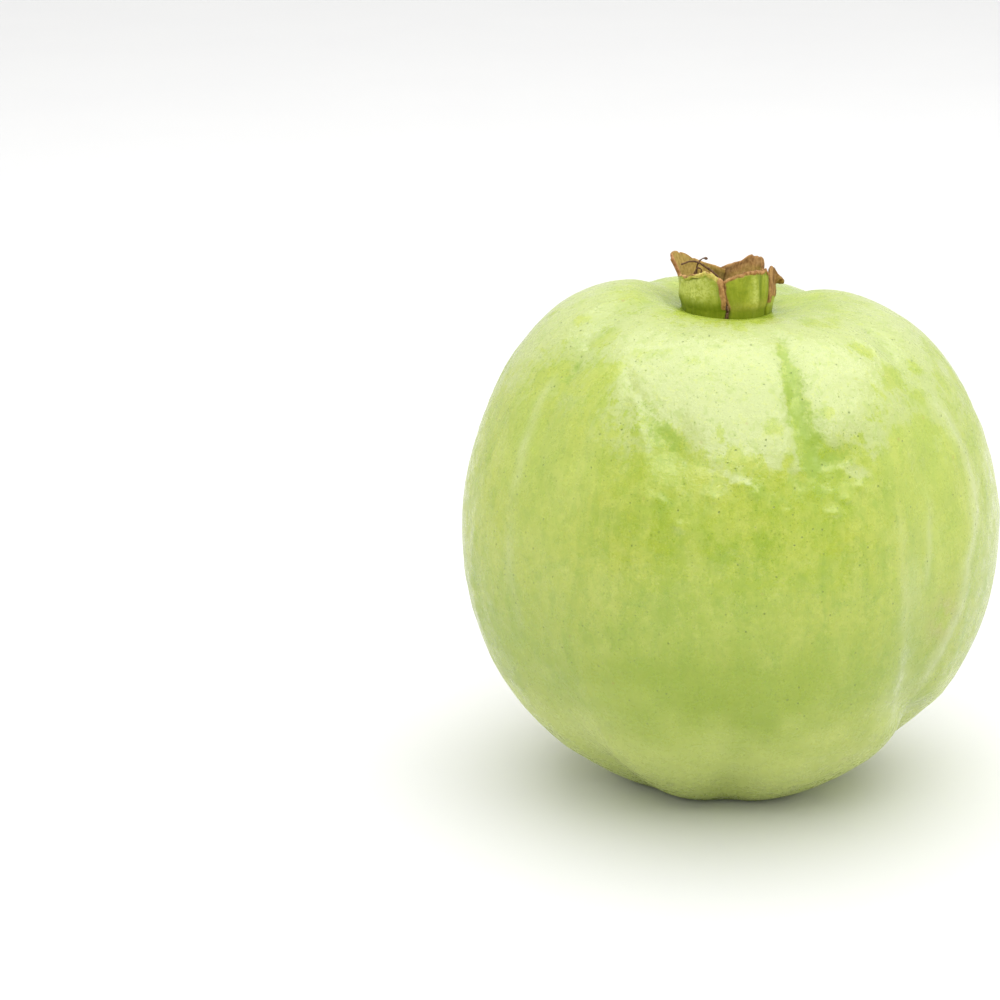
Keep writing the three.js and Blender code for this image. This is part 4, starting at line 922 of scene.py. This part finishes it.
    def paint(u, v, x, y, rim, left, right, inner):
        w = 0.07 * noise(x, y * 0.6, 0 * x, 1.0, 71)
        dry = smooth(0.34, 0.46, v + w + 0.08 * (1 - smooth(0.0, 0.30, u)) - 0.06 * smooth(0.5, 1, u))
        return {
            "dry": np.maximum(dry, inner * smooth(0.1, 0.4, v)),
            "red": 0.55 * bell(u, 0.22, 0.18),
            "olive": 0.5 * smooth(0.5, 0.9, u) * inner,
            "pale": 0.5 * bell(v, 0.28, 0.10),
            # deep: partly painted shade at the foot
            "deep": 0.9 * (1 - smooth(0.03, 0.16, v)),
            # dark: painted shadow along a fold; the dark rim is its own colour
            "dark": 0.45 * bell(u, 0.33, 0.045) * smooth(0.4, 0.7, v) + 0.35 * (1 - smooth(0, 0.15, rim)),
        }

    sepal("sepal_right", "dried_sepal", 121, shape, paint, 90, 72)

    # back right: an upright dried plate
    def shape(u, v):
        return 0.18 * np.sin(u * 12 + 1) * smooth(0.3, 0.9, v), zero(u), zero(u)

    def paint(u, v, x, y, rim, left, right, inner):
        w = 0.10 * noise(x, y, 0 * x, 1.0, 81)
        dry = smooth(0.28, 0.40, v + w) if not inner else smooth(0.10, 0.25, v + w)
        return {
            "dry": dry,
            "olive": clip01((0.95 - 0.55 * smooth(0.35, 0.60, u)) * smooth(0.35, 1.3, rim + w - 0.8 * smooth(0.3, 0.5, u))),
            "red": 0.25 * (1 - smooth(0.3, 0.9, rim + w)) * (1 - smooth(0.75, 1, u)),
            # deep: partly painted shade at the foot
            "deep": 0.8 * (1 - smooth(0.03, 0.18, v)),
            "pale": 0.3 * bell(v, 0.3, 0.1),
            # dark: the rim's own colour, and painted shade on the inner face
            "dark": clip01(0.30 * (1 - smooth(0, 0.16, rim)) + inner * (0.55 * smooth(0.78, 1.0, u) * smooth(0.4, 0.9, rim) + 0.30 * smooth(0.45, 0.8, u) * bell(rim, 0.7, 0.35))),
        }

    sepal("sepal_back_right", "dried_sepal", 131, shape, paint)

    # back left: dried, leaning out
    def shape(u, v):
        return 0.16 * np.sin(u * 11) * smooth(0.3, 0.9, v), zero(u), zero(u)

    def paint(u, v, x, y, rim, left, right, inner):
        w = 0.10 * noise(x, y, 0 * x, 1.0, 91)
        dry = smooth(0.26, 0.38, v + w) if not inner else smooth(0.08, 0.25, v + w)
        return {
            "dry": dry,
            "olive": clip01(0.80 * smooth(0.9, 1.5, left + w) * inner + 0.3 * (1 - inner)),
            "red": clip01((1 - smooth(0.7, 1.2, left + w)) + 0.45 * (1 - smooth(0.2, 0.5, rim + w))),
            "yellow": zero(u),
            # deep: partly painted shade at the foot
            "deep": 0.8 * (1 - smooth(0.03, 0.18, v)),
            "pale": 0.3 * bell(v, 0.3, 0.1),
            # dark: the rim's own colour, and painted shade on the inner face
            "dark": clip01(0.30 * (1 - smooth(0, 0.14, rim)) + 0.50 * inner * smooth(0.75, 1.0, u) * smooth(0.5, 1.0, rim)),
        }

    sepal("sepal_back_left", "dried_sepal", 141, shape, paint)


crown()


# ---------------------------------------------------------------- dried threads and the crown's floor
def tubes(strands, sides=9):
    """Tubes along paths; each strand is (points, radius at each point)."""
    points, quads, tris, start = [], [], [], 0
    a = np.arange(sides) * 2 * math.pi / sides
    for path, radius in strands:
        path = np.asarray(path, float)
        tangent = np.gradient(path, axis=0)
        tangent /= np.linalg.norm(tangent, axis=1, keepdims=True) + 1e-12
        side = np.cross(tangent[0], [0.3, 0.2, 0.93])
        side /= np.linalg.norm(side)
        n = len(path)
        for k in range(n):
            side = side - tangent[k] * (side @ tangent[k])
            side /= np.linalg.norm(side)
            other = np.cross(tangent[k], side)
            points.append(path[k] + radius[k] * (np.cos(a)[:, None] * side + np.sin(a)[:, None] * other))
        points.append(path[[0]] - tangent[[0]] * radius[0] * 0.5)
        points.append(path[[-1]] + tangent[[-1]] * radius[-1] * 0.5)
        quads.append(ring_faces(n, sides)[:, ::-1] + start)
        j = np.arange(sides)
        first, last = start + n * sides, start + n * sides + 1
        tris.append(np.stack([np.full(sides, first), start + (j + 1) % sides, start + j], -1))
        tris.append(np.stack([np.full(sides, last), start + (n - 1) * sides + j, start + (n - 1) * sides + (j + 1) % sides], -1))
        start += n * sides + 2
    return np.concatenate(points), [np.concatenate(quads), np.concatenate(tris)]


def strand(path, thick, steps=40, seed=0, shake=0.05, swollen=()):
    """A wavering thread through the points, thinner at its end; swollen gives (place, size, length) of knots."""
    path = np.array(path, float)
    s = chords(path)
    k = np.linspace(0, s[-1], steps)
    q = np.stack([hermite(s, path[:, i], k) for i in range(3)], -1)
    for i in range(3):
        q[:, i] += shake * noise(k, 0 * k + i * 7.7, 0 * k, 0.9, seed) * smooth(0, 0.8, k)
    f = k / s[-1]
    radius = thick / 2 * (1.15 - 0.55 * f) * (1 + 0.22 * noise(k, 0 * k, 0 * k, 0.35, seed + 1))
    for place, size, length in swollen:
        radius = radius + size * bell(k, place * s[-1], length)
    q[:, 0] += CROWN_X
    q[:, 2] += FLOOR_Z
    return q, radius


def thread_material():
    if "guava_dried_thread" in bpy.data.materials:
        return bpy.data.materials["guava_dried_thread"]
    p = Paint("guava_dried_thread")
    base = p.mix(p.band(p.noise(0.5, 3, 0.6), 0.35, 0.65), (0.080, 0.042, 0.020), (0.170, 0.092, 0.044))
    base = p.mix(p.math("MULTIPLY", p.band(p.noise(0.14, 3, 0.6), 0.5, 0.7), 0.5), base, (0.230, 0.135, 0.065))
    p.set("Base Color", base)
    p.set("Roughness", 0.72)
    p.set("Specular IOR Level", 0.3)
    p.set("Normal", p.bump(p.noise(0.18, 3, 0.6), 0.04, 1.0))
    return p.material


def threads():
    def piece(name, strands, nodes):
        points, faces = tubes(strands)
        ob = mesh_object(name, points, faces)
        ob.data.materials.append(thread_material())
        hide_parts(*nodes)
        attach(ob, "root")

    style = [(0.3, 0.5, -0.1), (0, 0.3, 2.5), (-1.2, 0.1, 4.9), (-3.25, 0, 7.15), (-4.26, 0, 7.8), (-4.95, 0, 8.15), (-5.95, 0, 8.3), (-7.1, 0.1, 8.05), (-7.75, 0.1, 7.75)]
    piece("guava_dried_style", [strand(style, 0.46, 90, 201, 0.06, [(0.985, 0.05, 0.18)])], ["dried_style"])
    bent = [(-4.2, 1.8, 0.1), (-4.9, 1.5, 3.0), (-5.05, 1.1, 6.0), (-4.8, 0.9, 7.8), (-4.35, 0.85, 8.45), (-4.0, 0.85, 8.65), (-3.3, 0.85, 8.6)]
    loop = [(-5.6, -0.5, 5.6), (-5.4, -0.75, 6.7), (-4.9, -0.8, 7.35), (-4.45, -0.7, 7.1), (-4.5, -0.5, 6.4), (-4.9, -0.3, 5.6)]
    piece("guava_dried_stamen", [strand(bent, 0.36, 70, 211, 0.05, [(0.97, 0.14, 0.22), (0.86, 0.05, 0.15)]), strand(loop, 0.30, 50, 215, 0.03)], ["dried_stamen_1"])
    rest = [
        strand([(3.6, 1.8, 0.1), (4.2, 1.4, 2.4), (3.9, 0.2, 4.2), (2.9, -1.2, 5.0), (1.9, -2.2, 4.6)], 0.34, 50, 221, 0.06, [(0.97, 0.12, 0.2)]),
        strand([(0.6, -3.9, 0.1), (0.2, -4.6, 2.0), (-1.2, -4.9, 3.4), (-2.6, -4.3, 3.9)], 0.34, 50, 225, 0.06, [(0.97, 0.12, 0.2)]),
        strand([(-0.6, 4.2, 0.1), (0.4, 4.9, 2.2), (1.9, 4.8, 3.7), (3.3, 3.9, 4.2)], 0.34, 50, 229, 0.06, [(0.97, 0.12, 0.2)]),
    ]
    rng = np.random.default_rng(7)
    for i in range(84):
        a = rng.uniform(0, 2 * math.pi)
        r = rng.uniform(2.6, 5.9)
        length = rng.uniform(0.8, 3.4) if i % 3 else rng.uniform(2.6, 4.6)
        lean, turn = rng.uniform(-0.5, 0.9), rng.uniform(-0.9, 0.9)
        p0 = np.array([r * math.cos(a), r * math.sin(a), 0.15])
        inward = -np.array([math.cos(a), math.sin(a), 0])
        sideways = np.array([-math.sin(a), math.cos(a), 0])
        path = [p0]
        for f in (0.33, 0.66, 1.0):
            q = p0 + np.array([0, 0, length * f * (1 - 0.25 * f)]) + inward * lean * length * f * f * 0.8 + sideways * turn * length * f * f * 0.6
            rr = math.hypot(q[0], q[1])
            if rr > 6.3:
                q[:2] *= 6.3 / rr
            path.append(q)
        rest.append(strand(path, rng.uniform(0.20, 0.32), 14, 300 + i, 0.07, [(0.96, rng.uniform(0.03, 0.12), 0.2)]))
    piece("guava_stamen_remains", rest, ["dried_stamen_2", "dried_stamen_3", "dried_stamen_4"])


threads()


def crown_floor():
    """The dried, fibrous disc at the bottom of the crown's cup."""
    around, rings = 150, 46
    a = np.arange(around) * 2 * math.pi / around
    radius = np.linspace(0.12, 6.95, rings)
    rr, aa = np.meshgrid(radius, a, indexing="ij")
    x, y = rr * np.cos(aa), rr * np.sin(aa)
    high = 0.35 + 0.55 * smooth(4.2, 6.3, rr) + 0.30 * (1 - smooth(0.3, 1.1, rr)) - 0.25 * bell(rr, 1.6, 0.6)
    high = high + 0.12 * noise(x, y, 0 * x, 1.1, 401) + 0.09 * noise(aa * 9, rr * 0.4, 0 * x, 1.0, 402) * smooth(1, 3, rr) + 0.05 * noise(x, y, 0 * x, 0.4, 403)
    top = np.stack([x + CROWN_X, y, FLOOR_Z + high], -1)
    under = np.stack([x[-1] + CROWN_X, y[-1], np.full(around, FLOOR_Z - 0.25)], -1)[None]
    grid = np.concatenate([top, under])
    points = np.concatenate([grid.reshape(-1, 3), [[CROWN_X, 0, FLOOR_Z + high[0].mean()]], [[CROWN_X, 0, FLOOR_Z - 0.25]]])
    n = len(grid)
    j = np.arange(around)
    caps = np.concatenate([
        np.stack([np.full(around, n * around), j, (j + 1) % around], -1),
        np.stack([np.full(around, n * around + 1), (n - 1) * around + (j + 1) % around, (n - 1) * around + j], -1),
    ])
    p = Paint("guava_crown_floor")
    base = p.mix(p.band(p.noise(1.3, 4, 0.65), 0.38, 0.62), (0.105, 0.055, 0.026), (0.290, 0.175, 0.080))
    base = p.mix(p.math("MULTIPLY", p.band(p.noise(0.30, 3, 0.65), 0.5, 0.7), 0.6), base, (0.055, 0.030, 0.016))
    base = p.mix(p.math("MULTIPLY", p.band(p.noise(0.9, 3, 0.6, twist=0.6), 0.56, 0.70), 0.5), base, (0.400, 0.290, 0.130))
    p.set("Base Color", base)
    p.set("Roughness", 0.8)
    p.set("Specular IOR Level", 0.25)
    p.set("Normal", p.bump(p.noise(0.25, 3, 0.65), 0.10, 1.0))
    ob = mesh_object("guava_crown_floor", points, [ring_faces(n, around), caps])
    ob.data.materials.append(p.material)
    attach(ob, "root")


crown_floor()


# ---------------------------------------------------------------- the stalk's stub in the dimple below
def stub():
    profile = [(0.05, 1.0), (0.8, 1.02), (1.55, 1.08), (1.95, 1.25), (2.22, 1.6), (2.15, 2.6), (2.2, 3.55), (2.1, 4.35)]
    s = chords(profile)
    R, H = np.array(profile, float).T
    around = 110
    a = np.arange(around) * 2 * math.pi / around
    k = np.concatenate([np.linspace(0, s[4], 26, endpoint=False), np.linspace(s[4], s[-1], 30)])
    rr, aa = np.meshgrid(hermite(s, R, k), a, indexing="ij")
    high = np.repeat(hermite(s, H, k)[:, None], around, 1)
    wall = smooth(s[3], s[4], k)[:, None]
    rr = rr * (1 + (0.035 * noise(aa * 4, high, 0 * aa, 1.0, 501) + 0.02 * np.cos(5 * aa)) * smooth(0.5, 2.0, rr))
    high = high + (0.09 * noise(rr * np.cos(aa), rr * np.sin(aa), 0 * aa, 0.8, 502) + 0.05 * noise(rr * np.cos(aa), rr * np.sin(aa), 0 * aa, 0.3, 503)) * (1 - wall)
    grid = np.stack([rr * np.cos(aa), rr * np.sin(aa), high], -1)
    n = len(grid)
    points = np.concatenate([grid.reshape(-1, 3), [[0, 0, grid[0, :, 2].mean()]], [[0, 0, 4.35]]])
    j = np.arange(around)
    caps = np.concatenate([
        np.stack([np.full(around, n * around), (j + 1) % around, j], -1),
        np.stack([np.full(around, n * around + 1), (n - 1) * around + j, (n - 1) * around + (j + 1) % around], -1),
    ])
    p = Paint("guava_stalk")
    long = p.noise(0.5, 4, 0.65, place=p.stretched((1, 1, 0.22)))
    base = p.mix(p.band(long, 0.36, 0.64), (0.120, 0.080, 0.036), (0.300, 0.215, 0.105))
    base = p.mix(p.attribute("cut"), base, p.mix(p.band(p.noise(0.35, 3, 0.6), 0.4, 0.62), (0.230, 0.140, 0.065), (0.500, 0.360, 0.190)))
    base = p.mix(p.math("MULTIPLY", p.attribute("pith"), 0.8), base, (0.085, 0.050, 0.024))
    p.set("Base Color", base)
    p.set("Roughness", 0.74)
    p.set("Specular IOR Level", 0.3)
    p.set("Normal", p.bump(p.noise(0.25, 3, 0.6), 0.08, 1.0))
    r_all = np.hypot(points[:, 0], points[:, 1])
    cut = np.where(points[:, 2] < 1.5, 1 - smooth(1.55, 1.9, r_all), 0)
    ob = mesh_object("guava_stalk_stub", points, [ring_faces(n, around)[:, ::-1], caps], {"cut": cut, "pith": cut * (1 - smooth(0.25, 0.5, r_all))})
    ob.data.materials.append(p.material)
    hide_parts("stalk_stub")
    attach(ob, "root")


stub()


# ---------------------------------------------------------------- the floor
def floor():
    p = Paint("studio_floor")
    p.set("Base Color", p.mix(p.noise(60, 2, 0.5), (0.71, 0.71, 0.71), (0.73, 0.73, 0.726)))
    p.set("Roughness", 0.65)
    p.set("Specular IOR Level", 0.2)
    half = 3000
    ob = mesh_object("studio_floor", [(-half, -half, 0), (half, -half, 0), (half, half, 0), (-half, half, 0)], np.array([[0, 1, 2, 3]]))
    ob.data.materials.append(p.material)


floor()
